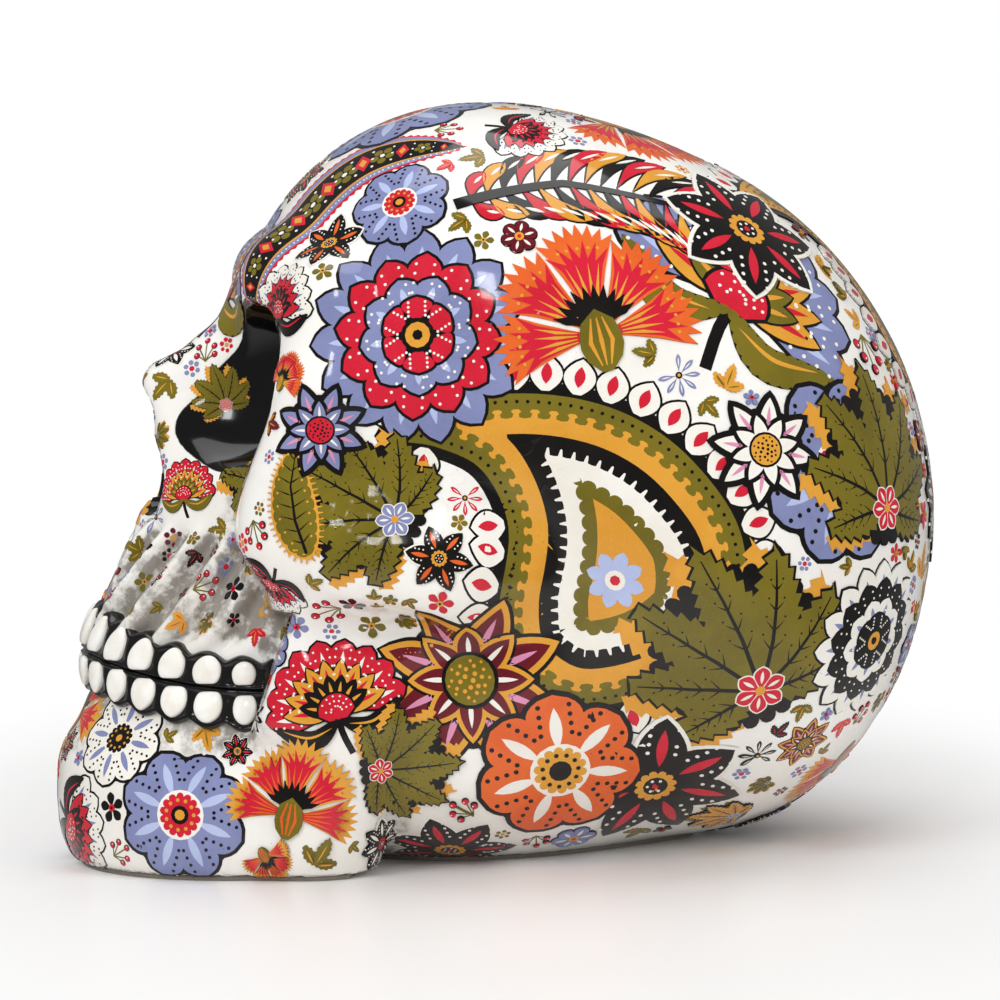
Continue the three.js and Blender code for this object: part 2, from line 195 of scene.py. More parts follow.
def ridgeForm(points, balls, blend):
    distance = None
    for first, second in zip(balls[:-1], balls[1:]):
        start, run = place(first), place(second) - place(first)
        share = np.clip((points - start) @ run / (run @ run), 0, 1)
        radius = (first[3] + (second[3] - first[3]) * share) * skull["height"]
        reach = np.linalg.norm(points - start - share[:, None] * run, axis=1) - radius
        distance = reach if distance is None else smoothJoin(distance, reach, blend)
    return distance


def muzzleAt(z):
    # reach and width of the lower face at a height, eased between the levels
    levels = np.array(skull["muzzle"], float)
    slopes = np.array([
        (levels[min(i + 1, len(levels) - 1), 1:] - levels[max(i - 1, 0), 1:])
        / (levels[min(i + 1, len(levels) - 1), 0] - levels[max(i - 1, 0), 0]) for i in range(len(levels))])
    up = np.asarray(z, float) / skull["height"]
    i = np.clip(np.searchsorted(levels[:, 0], up, side="right") - 1, 0, len(levels) - 2)
    span = levels[i + 1, 0] - levels[i, 0]
    t = np.clip((up - levels[i, 0]) / span, 0, 1)
    eased = []
    for k in (1, 2):
        start, end = levels[i, k], levels[i + 1, k]
        bend = t * (1 - t) * span * ((1 - t) * slopes[i, k - 1] - t * slopes[i + 1, k - 1])
        eased.append(start + (end - start) * t * t * (3 - 2 * t) + bend)
    return eased[0] * mouth["reach"], eased[1] * mouth["halfWidth"]


def archPoint(angle, z, offset):
    # a place on the arch of teeth: angle from the middle, height, and how far in front of the face
    reach, width = muzzleAt(z)
    x = (width + offset) * np.sin(angle)
    y = mouth["centre"] - (reach + offset) * np.cos(angle)
    return np.stack(np.broadcast_arrays(x, y, z), axis=-1)


def biteAt(angle):
    return mouth["biteHeight"] + mouth["biteRise"] * np.cos(angle) ** 2


archAngles = np.linspace(0, mouth["gumEnd"], 401)
bitePoints = archPoint(archAngles, biteAt(archAngles), 0.0)
archTeeth = np.concatenate(((0,), np.cumsum(np.linalg.norm(np.diff(bitePoints, axis=0), axis=1))))
archTeeth *= mouth["teethPerSide"] / archTeeth[-1]


def angleAt(teeth):
    return np.sign(teeth) * np.interp(np.abs(teeth), archTeeth, archAngles)


def ribWave(angle, z):
    # slanted ribs over the roots of the upper teeth
    ribs = skull["ribs"]
    teeth = np.interp(angle, archAngles, archTeeth) - (z - biteAt(angle)) * ribs["slant"]
    share = window(ribs["from"], ribs["to"], ribs["fade"], ribs["fade"], z) * easeStep(0, ribs["middle"], angle)
    return ribs["height"] * share * np.cos(2 * math.pi * (teeth - 0.5) * ribs["perTooth"])


def aroundMouth(points):
    # how far outside the lower face, the angle round it, and the height of the ribs
    reach, width = muzzleAt(points[:, 2])
    ahead = np.minimum(points[:, 1] - mouth["centre"], 0)
    sides = (np.hypot(points[:, 0] / width, ahead / reach) - 1) * width
    angle = np.arctan2(points[:, 0] / width, -ahead / reach)
    ribs = ribWave(angle, points[:, 2])
    return sides - ribs, angle, ribs


def muzzleForm(points):
    sides = aroundMouth(points)[0]
    blend = skull["muzzleEndBlend"] * skull["height"]
    backed = -smoothJoin(-sides, skull["muzzleBack"] * skull["length"] - points[:, 1], blend)
    return -smoothJoin(-backed, skull["muzzle"][-1][0] * skull["height"] - points[:, 2], blend)


def recessForm(points):
    # what the mouth's recess takes away: all in front of the arch, ahead of the jaw's slanting step
    recess = skull["mouthRecess"]
    sides, angle, _ = aroundMouth(points)
    inFront = recess["behind"] - sides
    step = recess["stepAlong"] - recess["stepLean"] * (recess["stepUp"] - points[:, 2])
    limits = (points[:, 1] - step, points[:, 2] - recess["top"], biteAt(angle) - recess["low"] - points[:, 2])
    for limit in limits:
        inFront = -smoothJoin(-inFront, -limit, recess["blend"])
    return inFront


def skinDistance(points):
    # distance to the skin, negative inside; both sides are alike
    p = points.copy()
    p[:, 0] = np.abs(p[:, 0])
    tall = skull["height"]
    distance = None
    for at, reach, blend in skull["forms"].values():
        form = roundForm(p, place(at), place(reach))
        distance = form if distance is None else smoothJoin(distance, form, blend * tall)
    distance = smoothJoin(distance, muzzleForm(p), skull["muzzleBlend"] * tall)
    for balls, blend in skull["ridges"].values():
        distance = smoothJoin(distance, ridgeForm(p, balls, blend * tall), blend * tall)
    for at, reach, blend in skull["hollows"].values():
        distance = smoothCut(distance, roundForm(p, place(at), place(reach)), blend * tall)
    distance = smoothCut(distance, recessForm(p), skull["mouthRecess"]["blend"])
    eye = roundForm(p, place(skull["eye"][0]), skull["eye"][1])
    distance = smoothCut(distance, eye, skull["eye"][2])
    nose = smoothJoin(
        roundForm(p, place(skull["nostril"][0]), skull["nostril"][1]),
        roundForm(p, place(skull["noseTop"][0]), skull["noseTop"][1]), skull["nostril"][2])
    distance = smoothCut(distance, nose, skull["noseTop"][2])
    return np.maximum(distance, skull["floor"] - points[:, 2])


def slopeAt(points, step=0.04):
    # distance and its slope
    here = skinDistance(points)
    slope = np.empty_like(points)
    for k in range(3):
        moved = points.copy()
        moved[:, k] += step
        slope[:, k] = (skinDistance(moved) - here) / step
    return here, slope


def settled(points, rounds=1):
    # moves points on to the skin and gives the directions out of it
    slope = None
    for _ in range(rounds):
        here, slope = slopeAt(points)
        points = points - slope * (here / np.maximum((slope ** 2).sum(1), 1e-9))[:, None]
    return points, slope / np.maximum(np.linalg.norm(slope, axis=1), 1e-9)[:, None]


# Grid of distances, used for the skin's mesh and for walking along the skin
gridSteps = {
    "across": np.arange(-65.0, 65.1, 1.3),
    "along": np.concatenate((np.arange(-98.0, -32.0, 1.0), np.arange(-32.0, 98.0, 1.45))),
    "up": np.arange(-1.6, 161.0, 1.3),
    "coarse": 4,
    "near": 6.5,
}
gridAxes = [gridSteps["across"], gridSteps["along"], gridSteps["up"]]


def fieldOnGrid():
    # every fourth place first, then every place near the skin
    picks = [np.unique(np.append(np.arange(0, len(axis), gridSteps["coarse"]), len(axis) - 1)) for axis in gridAxes]
    rough = np.stack(np.meshgrid(*[axis[pick] for axis, pick in zip(gridAxes, picks)], indexing="ij"), axis=-1)
    coarse = skinDistance(rough.reshape(-1, 3)).reshape(rough.shape[:3])
    nearest = [
        np.abs(axis[:, None] - axis[pick][None, :]).argmin(axis=1) for axis, pick in zip(gridAxes, picks)]
    field = coarse[np.ix_(*nearest)]
    near = np.argwhere(np.abs(field) < gridSteps["near"])
    spots = np.stack([gridAxes[k][near[:, k]] for k in range(3)], axis=1)
    field[near[:, 0], near[:, 1], near[:, 2]] = skinDistance(spots)
    return field


def netFrom(field):
    # one corner in each cell that the skin passes through, one face for each grid edge it cuts
    sign = field < 0
    mixed = np.zeros(tuple(n - 1 for n in field.shape), np.int8)
    for i, j, k in product((0, 1), repeat=3):
        mixed += sign[i:i + mixed.shape[0], j:j + mixed.shape[1], k:k + mixed.shape[2]]
    active = (mixed > 0) & (mixed < 8)
    ids = np.full(active.shape, -1)
    ids[active] = np.arange(active.sum())
    cells = np.argwhere(active)
    total, count = np.zeros((len(cells), 3)), np.zeros(len(cells))
    for axis, a, b in product(range(3), (0, 1), (0, 1)):
        ends = np.insert((a, b), axis, 0), np.insert((a, b), axis, 1)
        start, end = cells + ends[0], cells + ends[1]
        first, second = field[tuple(start.T)], field[tuple(end.T)]
        cuts = (first < 0) != (second < 0)
        share = np.where(cuts, first / np.where(cuts, first - second, 1), 0)
        spot = np.stack([gridAxes[k][start[:, k]] for k in range(3)], axis=1)
        spot[:, axis] += share * (gridAxes[axis][end[:, axis]] - gridAxes[axis][start[:, axis]])
        total += np.where(cuts[:, None], spot, 0)
        count += cuts
    faces = []
    for axis in range(3):
        first, second = (axis + 1) % 3, (axis + 2) % 3
        low = np.take(sign, np.arange(field.shape[axis] - 1), axis=axis)
        high = np.take(sign, np.arange(1, field.shape[axis]), axis=axis)
        edges = np.argwhere(low != high)
        starts = low[tuple(edges.T)]
        ring = []
        for a, b in ((1, 1), (0, 1), (0, 0), (1, 0)):
            cell = edges.copy()
            cell[:, first] -= a
            cell[:, second] -= b
            ring.append(ids[tuple(cell.T)])
        ring = np.stack(ring, axis=1)
        faces.append(np.where(starts[:, None], ring, ring[:, ::-1]))
    return total / count[:, None], np.concatenate(faces)


field = fieldOnGrid()
slopes = np.stack(np.gradient(field, *gridAxes), axis=-1)
gridStore = np.concatenate((field[..., None], slopes), axis=-1).astype(np.float32)
print("distance grid:", field.shape)


def lookUp(points):
    # distance and slope read from the grid
    low, share = [], []
    for k in range(3):
        spot = np.interp(points[:, k], gridAxes[k], np.arange(len(gridAxes[k])))
        low.append(np.minimum(spot.astype(int), len(gridAxes[k]) - 2))
        share.append(spot - low[k])
    total = np.zeros((len(points), 4))
    for i, j, k in product((0, 1), repeat=3):
        weight = (share[0] if i else 1 - share[0]) * (share[1] if j else 1 - share[1])
        weight = weight * (share[2] if k else 1 - share[2])
        total += weight[:, None] * gridStore[low[0] + i, low[1] + j, low[2] + k]
    return total[:, 0], total[:, 1:]


# Making objects
def ready(name, points, faces, material, directions=None, attributes=None):
    # a finished piece at the origin, in metres, with its own smooth normals where they are known
    mesh = bpy.data.meshes.new(name)
    if isinstance(faces, np.ndarray):
        mesh.vertices.add(len(points))
        mesh.vertices.foreach_set("co", (np.asarray(points, np.float32) / 1000).ravel())
        mesh.loops.add(faces.size)
        mesh.loops.foreach_set("vertex_index", faces.ravel().astype(np.int32))
        mesh.polygons.add(len(faces))
        mesh.polygons.foreach_set("loop_start", np.arange(0, faces.size, faces.shape[1], dtype=np.int32))
        mesh.update(calc_edges=True)
    else:
        mesh.from_pydata((np.asarray(points) / 1000).tolist(), [], faces)
    mesh.polygons.foreach_set("use_smooth", np.ones(len(mesh.polygons), bool))
    for key, values in (attributes or {}).items():
        layer = mesh.attributes.new(key, "FLOAT", "POINT")
        layer.data.foreach_set("value", np.asarray(values, np.float32))
    mesh.validate()
    if directions is not None:
        mesh.normals_split_custom_set_from_vertices(np.asarray(directions, np.float32))
    mesh.materials.append(material)
    return linked(name, mesh)


def dress(piece, nodes=()):
    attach(piece, "root")
    if nodes:
        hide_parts(*nodes)
    return piece


# Node trees written as Python
class Wire:
    # one socket that sums and products can be written with
    def __init__(self, bench, socket):
        self.bench = bench
        self.socket = socket

    def other(self, name):
        return Wire(self.bench, self.socket.node.outputs[name])

    def __add__(self, value):
        return self.bench.calc("ADD", self, value)

    def __radd__(self, value):
        return self.bench.calc("ADD", value, self)

    def __sub__(self, value):
        return self.bench.calc("SUBTRACT", self, value)

    def __rsub__(self, value):
        return self.bench.calc("SUBTRACT", value, self)

    def __mul__(self, value):
        return self.bench.calc("MULTIPLY", self, value)

    def __rmul__(self, value):
        return self.bench.calc("MULTIPLY", value, self)

    def __truediv__(self, value):
        return self.bench.calc("DIVIDE", self, value)

    def __pow__(self, value):
        return self.bench.calc("POWER", self, value)

    def __abs__(self):
        return self.bench.calc("ABSOLUTE", self)


class Bench:
    # a node tree and the few ways this file adds to it
    def __init__(self, tree):
        self.tree = tree

    def node(self, kind, settings=None, values=None, out=0):
        made = self.tree.nodes.new(kind)
        for name, value in (settings or {}).items():
            if name == "stops":
                ramp = made.color_ramp
                while len(ramp.elements) < len(value):
                    ramp.elements.new(0.5)
                for stop, (at, colour) in zip(ramp.elements, value):
                    stop.position, stop.color = at, colour
            else:
                setattr(made, name, value)
        for name, value in (values or {}).items():
            if isinstance(value, Wire):
                self.tree.links.new(value.socket, made.inputs[name])
            else:
                made.inputs[name].default_value = value
        return Wire(self, made.outputs[out]) if len(made.outputs) else None

    def calc(self, operation, *values):
        return self.node("ShaderNodeMath", {"operation": operation}, dict(enumerate(values)))

    def ease(self, value, low, high):
        # from 0 at low to 1 at high, also where low is the larger
        return self.node("ShaderNodeMapRange", {"interpolation_type": "SMOOTHSTEP"},
                         {"Value": value, "From Min": low, "From Max": high})

    def mix(self, share, first, second, kind="MIX"):
        settings = {"data_type": "RGBA", "blend_type": kind}
        return self.node("ShaderNodeMix", settings, {0: share, 6: first, 7: second}, out=2)

    def noise(self, where, scale, detail=2.0, rough=0.5):
        return self.node("ShaderNodeTexNoise", None,
                         {"Vector": where, "Scale": scale, "Detail": detail, "Roughness": rough})

    def bubbles(self, where, scale):
        return self.node("ShaderNodeTexVoronoi", {"feature": "SMOOTH_F1"},
                         {"Vector": where, "Scale": scale}, out="Distance")

    def bump(self, height, strength, distance):
        return self.node("ShaderNodeBump", None, {"Height": height, "Strength": strength, "Distance": distance})


def emptied(holder):
    # a material or world with no nodes yet
    holder.use_nodes = True
    holder.node_tree.nodes.clear()
    return Bench(holder.node_tree)


def startTree(name, inputs):
    # a geometry tree with its named inputs
    tree = bpy.data.node_groups.new(name, "GeometryNodeTree")
    tree.interface.new_socket("Geometry", in_out="OUTPUT", socket_type="NodeSocketGeometry")
    for socket, kind in inputs.items():
        tree.interface.new_socket(socket, in_out="INPUT", socket_type="NodeSocket" + kind)
    bench = Bench(tree)
    return bench, bench.node("NodeGroupInput")


def endTree(bench, shape, finish):
    real = bench.node("GeometryNodeRealizeInstances", None, {"Geometry": shape})
    named = bench.node("GeometryNodeSetMaterial", None, {"Geometry": real, "Material": finish})
    bench.node("NodeGroupOutput", None, {"Geometry": named})
    return bench.tree


def paint(code):
    # a colour written as on screen, for a socket
    parts = [int(code[i:i + 2], 16) / 255 for i in (1, 3, 5)]
    return tuple(c / 12.92 if c <= 0.04045 else ((c + 0.055) / 1.055) ** 2.4 for c in parts) + (1.0,)


def finish(name, recipe, constants):
    # a material whose recipe gives colour, roughness and normal from the piece's own place
    material = bpy.data.materials.new(name)
    bench = emptied(material)
    where = bench.node("ShaderNodeTexCoord", out="Object")
    shader = bench.node("ShaderNodeBsdfPrincipled", None, {**constants, **recipe(bench, where)})
    bench.node("ShaderNodeOutputMaterial", None, {"Surface": shader})
    return material


# Finishes
lacquer = {"Coat Weight": 0.45, "Coat Roughness": 0.05, "Coat IOR": 1.5, "IOR": 1.45, "Specular IOR Level": 0.25}
ground = {
    "colour": paint("#f5f3ee"),
    "warm": paint("#ece7dd"),
    # grey for the painted shade in hollows and rib valleys, for the greyer ground round the teeth and for the specks
    "shadeAndGrey": paint("#8b847b"),
    "dark": paint("#0c0b0b"),
    "rims": {"eye": 1.035, "nostril": 1.06, "noseTop": 1.06},
}


def insideOf(bench, where, middle, reach, rim, soft=0.008):
    # 1 within an ellipsoid that is the same on both sides
    split = bench.node("ShaderNodeSeparateXYZ", None, {"Vector": where}, out="X")
    across = (abs(split) - middle[0] / 1000) / (reach[0] / 1000)
    along = (split.other("Y") - middle[1] / 1000) / (reach[1] / 1000)
    up = (split.other("Z") - middle[2] / 1000) / (reach[2] / 1000)
    near = (across * across + along * along + up * up) ** 0.5
    return bench.ease(near, rim + soft, rim)


castFaults = {
    "pitted": ((56, -37, 82), (22, 15, 17), 0.6, 0.5),  # middle, reach, rim and its softness
    "seamed": ((56, -5, 98), (22, 24, 24), 0.6, 0.4),
    "pitScale": 420.0,
    "pitDepth": 2.4,
    "seamScale": 85.0,
    "seamWidth": 0.02,
    "seamDepth": 1.5,
}


def castRelief(bench, where):
    # pits and raised seams of the casting at the temple, which show through the ink
    pitted = insideOf(bench, where, *castFaults["pitted"])
    seamed = insideOf(bench, where, *castFaults["seamed"])
    bubbles = bench.bubbles(where, castFaults["pitScale"])
    wander = bench.noise(where, castFaults["seamScale"], 2.0, 0.6)
    seam = bench.ease(abs(wander - 0.5), castFaults["seamWidth"], 0.0)
    return bubbles * pitted * castFaults["pitDepth"] + seam * seamed * castFaults["seamDepth"]


def groundRecipe(bench, where):
    clouds = bench.noise(where, 35.0, 4.0, 0.6)
    colour = bench.mix(bench.ease(clouds, 0.42, 0.68) * 0.55, ground["colour"], ground["warm"])
    specks = bench.noise(where, 1500.0, 1.0)
    # the recess attribute: painted shade in hollows and between the ribs, and a greyer ground over and under the
    # teeth and at the temple
    shadeAndGrey = bench.node("ShaderNodeAttribute", {"attribute_name": "recess"}, out="Fac")
    streaks = bench.noise(where, 260.0, 5.0, 0.65)
    patches = bench.ease(streaks, 0.34, 0.66)
    # how far towards grey: the painted shade and greyer ground, broken up by patches and clouds
    shadeAndGreyShare = bench.ease(shadeAndGrey * (0.35 + patches * 0.9) + (clouds - 0.5) * 0.25, 0.1, 0.8)
    bubbles = bench.bubbles(where, 520.0)
    colour = bench.mix(shadeAndGreyShare * 0.9, colour, ground["shadeAndGrey"])
    colour = bench.mix(bench.ease(specks, 0.77, 0.8) * 0.5, colour, ground["shadeAndGrey"])
    eye, nostril, noseTop = (
        insideOf(bench, where, place(skull[key][0]), skull[key][1], ground["rims"][key])
        for key in ("eye", "nostril", "noseTop"))
    black = bench.calc("MAXIMUM", bench.calc("MAXIMUM", eye, nostril), noseTop)
    colour = bench.mix(black, colour, ground["dark"])
    peel = bench.noise(where, 190.0, 1.0) * 0.5 + castRelief(bench, where) + (streaks * 3.0 + bubbles * 1.2) * shadeAndGrey
    return {
        "Base Color": colour,
        "Roughness": 0.1 + shadeAndGreyShare * 0.18 + clouds * 0.05,
        "Normal": bench.bump(peel, 0.16, 0.0012),
    }


def printRecipe(colours):
    # printed ink: a main and a second tone, paper-like grain, and tiny missed dots
    def recipe(bench, where):
        clouds = bench.noise(where, 60.0, 3.0, 0.55)
        grain = bench.noise(where, 2300.0, 1.0)
        colour = bench.mix(bench.ease(clouds, 0.38, 0.66), colours[0], colours[1])
        colour = bench.mix(bench.ease(grain, 0.6, 0.72) * 0.3, colour, colours[2])
        return {
            "Base Color": colour,
            "Roughness": 0.08 + clouds * 0.09,
            "Normal": bench.bump(bench.noise(where, 190.0, 1.0) * 0.5 + castRelief(bench, where), 0.16, 0.0012),
        }
    return recipe


def gumRecipe(bench, where):
    clouds = bench.noise(where, 150.0, 3.0)
    brush = bench.noise(where, 420.0, 3.0, 0.6)
    return {
        "Base Color": bench.mix(bench.ease(clouds, 0.4, 0.7), paint("#060606"), paint("#141110")),
        "Roughness": 0.08 + brush * 0.14,
        "Normal": bench.bump(brush, 0.3, 0.0008),
    }


def toothRecipe(bench, where):
    clouds = bench.noise(where, 240.0, 3.0)
    grooves = bench.node("ShaderNodeTexWave", {"wave_type": "BANDS", "bands_direction": "X"},
                         {"Vector": where, "Scale": 130.0, "Distortion": 5.0, "Detail": 1.0}, out="Fac")
    return {
        "Base Color": bench.mix(bench.ease(clouds, 0.35, 0.7), paint("#fbfaf5"), paint("#f1ece2")),
        "Roughness": 0.14 + clouds * 0.12,
        "Normal": bench.bump(clouds * 0.7 + grooves * 0.1, 0.2, 0.0006),
    }


def feltRecipe(bench, where):
    fibres = bench.noise(where, 1700.0, 6.0, 0.75)
    clouds = bench.noise(where, 90.0, 2.0)
    return {
        "Base Color": bench.mix(fibres * 0.7 + clouds * 0.3, paint("#5d554d"), paint("#9a9186")),
        "Roughness": 0.9 + fibres * 0.08,
        "Normal": bench.bump(fibres, 0.8, 0.0004),
    }


# main tone, second tone and the tone of the fine grain
inks = {
    "black": ("#0c0a09", "#15110f", "#1d1815"),
    "olive": ("#7a6d1d", "#6b6019", "#8b7e2c"),
    "yellow": ("#e0a03a", "#d8952f", "#e8b456"),
    "orange": ("#e4682a", "#dc5c24", "#ec7f3c"),
    "red": ("#d31f38", "#c71a2e", "#dd3b48"),
    "maroon": ("#6d1622", "#5c111c", "#7c2430"),
    "blue": ("#868db8", "#7b82ad", "#959cc6"),
    "paleBlue": ("#b9c4e6", "#adb9df", "#c8d1ee"),
    "pink": ("#dc93b4", "#d386a9", "#e5a8c3"),
    "white": ("#f4f1e9", "#ece7dc", "#faf8f3"),
}
groundFinish = finish("lacquered_white_ground", groundRecipe, lacquer)
gumFinish = finish(
    "glossy_black_gum", gumRecipe, {"Coat Weight": 0.6, "Coat Roughness": 0.03, "Specular IOR Level": 0.3})
toothFinish = finish(
    "warm_white_tooth_enamel", toothRecipe, {"Coat Weight": 0.5, "Coat Roughness": 0.04, "IOR": 1.5})
feltFinish = finish("pressed_felt", feltRecipe, {"Sheen Weight": 0.4, "Sheen Roughness": 0.5})
inkFinishes = {
    name: finish("lacquered_" + name + "_ink", printRecipe([paint(c) for c in codes]), lacquer)
    for name, codes in inks.items()}
print("finishes made:", 4 + len(inkFinishes))

# The skull's skin
# painted shade in hollows, from how hollow the skin is within reach and its gain, and places where the ground is
# greyer: over and under the teeth and at the temple
shadeAndGreying = {
    "reach": 5.0,
    "gain": 2.3,
    "overTeeth": {"up": (47.0, 72.0, 5, 9), "along": (-999, -34.0, 1, 6), "across": (-999, 36, 1, 3)},
    "underTeeth": {"up": (20.0, 38.0, 9, 4), "along": (-999, -46.0, 1, 9), "across": (-999, 999, 1, 1)},
    "temple": ((56, 33, 84), (16, 17, 19)),
}


def regionShare(points, limits):
    # from low to high, and over how much it rises and falls
    return (window(*limits["up"], points[:, 2]) * window(*limits["along"], points[:, 1])
            * window(*limits["across"], np.abs(points[:, 0])))


def makeSkull():
    points, faces = netFrom(field)
    points, outwards = settled(points, 3)
    # painted shade: darker where the skin is hollow, measured a little way out from it
    far = shadeAndGreying["reach"]
    hollow = np.clip((far - skinDistance(points + outwards * far)) / far, 0, 1)
    ribs = aroundMouth(points * (np.sign(points[:, :1]) * (1, 0, 0) + (0, 1, 1)))[2]
    overTeeth = regionShare(points, shadeAndGreying["overTeeth"])
    # painted shade in the valleys between the ribs over the teeth
    overTeeth *= 0.5 + 0.5 * np.clip(0.4 - ribs / skull["ribs"]["height"], 0, 1)
    underTeeth = regionShare(points, shadeAndGreying["underTeeth"])
    middle, reach = shadeAndGreying["temple"]
    temple = 1 - easeStep(0.5, 1.0, np.linalg.norm((np.abs(points) - middle) / reach, axis=1))
    # painted shade and the greyer places together, kept as the recess attribute
    recess = np.clip(hollow * shadeAndGreying["gain"] - 0.25, 0, 1) + overTeeth + underTeeth * 0.5 + temple * 0.2
    piece = ready("skull_skin", points, faces, groundFinish, outwards, {"recess": np.clip(recess, 0, 1)})
    return dress(piece, ("skull_shell",))


skullSkin = makeSkull()
print("skull skin:", len(skullSkin.data.polygons), "faces")

# Gums
gumForm = {
    "past": 0.5,  # how many teeth the strip goes on for behind the last one
    "toothWidth": 6.0,
    "acrossSteps": 19,
    "stepsPerTooth": 16,
    "backSteps": 3,
    "lip": 0.75,
    "divider": 0.65,
    "edge": 0.9,
}


def gumEdge(teeth, height, backShare):
    angle = angleAt(teeth)
    tall = height * (1 + (backShare - 1) * np.sin(angle) ** 2)
    return tall + mouth["scallop"] * (np.abs(np.sin(teeth * math.pi)) ** 1.2 - 0.75)


def makeGum(name, upper):
    count = 2 * mouth["teethPerSide"] * gumForm["stepsPerTooth"]
    end = mouth["teethPerSide"] + gumForm["past"]
    teeth = np.linspace(-end, end, count + 1)
    beyond = np.sign(teeth) * np.maximum(np.abs(teeth) - mouth["teethPerSide"], 0)
    angle = angleAt(teeth) + beyond * gumForm["toothWidth"] / mouth["halfWidth"]
    far = gumEdge(teeth, mouth["upperGum" if upper else "lowerGum"], mouth["upperBack"] if upper else 1.0)
    sign = 1 if upper else -1
    rows = []
    share = (1 - np.cos(np.linspace(0, math.pi, gumForm["acrossSteps"]))) / 2
    side = np.sin(teeth * math.pi) ** 2
    for t in share:
        z = biteAt(angle) + sign * (mouth["gap"] + (far - mouth["gap"]) * t)
        rounded = (1 - abs(2 * t - 1) ** 7) ** 0.5 if t > 0.5 else (1 - (1 - 2 * t) ** 7 * 0.1) ** 0.5
        lip = gumForm["lip"] * (math.exp(-((t - 0.9) / 0.07) ** 2) + 0.8 * math.exp(-((t - 0.07) / 0.06) ** 2))
        middle = math.sin(math.pi * t) ** 0.7
        ends = np.clip((end - np.abs(teeth)) * 3, 0, 1) ** 0.5
        offset = -gumForm["edge"] + (mouth["proud"] + gumForm["edge"]) * rounded * ends
        offset = offset + (lip + gumForm["divider"] * middle * (1 - side) ** 3) * ends
        rows.append(archPoint(angle, z, offset))
    for t in np.linspace(1, 0, gumForm["backSteps"]):
        z = biteAt(angle) + sign * (mouth["gap"] + (far - mouth["gap"]) * t)
        rows.append(archPoint(angle, z, -mouth["depth"]))
    ring = len(rows)
    points = np.stack(rows, axis=1).reshape(-1, 3)
    faces = []
    for i in range(count):
        for k in range(ring):
            n = (k + 1) % ring
            face = (i * ring + k, i * ring + n, (i + 1) * ring + n, (i + 1) * ring + k)
            faces.append(face[::-1] if upper else face)
    first, last = tuple(range(ring)), tuple(count * ring + k for k in range(ring))
    faces += [first, last[::-1]] if not upper else [first[::-1], last]
    piece = ready(name, points, [tuple(reversed(f)) for f in faces], gumFinish)
    return dress(piece, (name.replace("_strip", ""),))


gums = [makeGum("upper_gum_strip", True), makeGum("lower_gum_strip", False)]
print("gums made")

# Teeth, each shaped by one geometry tree
teethForm = {
    "axisSteps": (0.01, 0.3),  # steps in angle and height that the seat's axes are read from
    "width": 6.15,
    "upperHeight": 8.2,
    "lowerHeight": 7.2,
    "depth": 1.6,
    "upperShares": (1, 0.95, 0.88, 0.82, 0.78, 0.72, 0.6),
    "lowerShares": (0.9, 0.95, 0.98, 0.95, 0.92, 0.92, 0.86),
    "widthShares": (0.95, 0.88, 0.96, 1, 0.98, 1, 0.82),
    "peak": (1.45, 1.42, 1.4, 1.35, 1.3, 1.15, 1.1),  # above 1 the crown is widest near the bite
    "lean": (0.34, 0.36, 0.32, 0.26, 0.18, 0.1, 0.04),
    "seatDip": 0.72,
    "segments": 28,
    "rings": 20,
}


def toothTree():
    sizes = ("Half Width", "Half Height", "Depth", "Crown Peak", "Root Lean", "Root Up")
    bench, given = startTree("tooth_form", {**dict.fromkeys(sizes, "Float"), "Finish": "Material"})
    ball = bench.node("GeometryNodeMeshUVSphere", None,
                      {"Segments": teethForm["segments"], "Rings": teethForm["rings"], "Radius": 1.0})
    x = bench.node("ShaderNodeSeparateXYZ", None, {"Vector": bench.node("GeometryNodeInputPosition")}, out="X")
    y, z = x.other("Y"), x.other("Z") * given.other("Root Up")
    fromRoot = (1 - z) / 2  # 0 at the root's tip, 1 at the biting edge
    bell = bench.calc("MAXIMUM", bench.calc("SINE", (fromRoot ** given.other("Crown Peak")) * math.pi), 0.0)
    around = bench.calc("MAXIMUM", 1 - z * z, 0.0004) ** 0.5
    fuller = (bell ** (0.42 - fromRoot * 0.24)) / around
    across = x * fuller * given + z * given.other("Root Lean") * given.other("Half Height")
    front = y * (bench.calc("MAXIMUM", abs(y), 0.01) ** -0.5) * given.other("Depth")
    tall = x.other("Z") * given.other("Half Height")
    spot = bench.node("ShaderNodeCombineXYZ", None, {"X": across, "Y": front, "Z": tall})
    formed = bench.node("GeometryNodeSetPosition", None, {"Geometry": ball, "Position": spot})
    smooth = bench.node("GeometryNodeSetShadeSmooth", None, {"Geometry": formed})
    return endTree(bench, smooth, given.other("Finish"))


def grown(name, tree, values, start=None):
    # runs a geometry tree and keeps its result as a plain mesh
    holder = linked(name, start or bpy.data.meshes.new(name))
    modifier = holder.modifiers.new("shape", "NODES")
    modifier.node_group = tree
    for socket in tree.interface.items_tree:
        if socket.in_out == "INPUT" and socket.name in values:
            modifier[socket.identifier] = values[socket.name]
    holder.update_tag()
    mesh = bpy.data.meshes.new_from_object(holder.evaluated_get(bpy.context.evaluated_depsgraph_get()))
    bpy.data.objects.remove(holder)
    mesh.name = name
    return mesh


def toothSeat(teeth, upper):
    # the same seat as in the part: in the middle of the strip, leaning with the face
    def edge(t):
        tall = mouth["upperGum" if upper else "lowerGum"]
        back = mouth["upperBack"] if upper else 1.0
        tall = tall * (1 + (back - 1) * math.sin(angleAt(t)) ** 2)
        return (tall + teethForm["seatDip"] * (math.sin(t * math.pi) ** 2 - 1)) * (1 if upper else -1)
    angle = float(angleAt(teeth))
    z = float(biteAt(angle)) + edge(teeth) / 2
    middle = archPoint(angle, z, mouth["proud"])
    aside, above = teethForm["axisSteps"]
    across = unit(archPoint(angle + aside, z, mouth["proud"]) - middle)
    inward = unit(np.cross(archPoint(angle, z + above, mouth["proud"]) - middle, across))
    return seated(middle / 1000, (across, inward, np.cross(across, inward)))


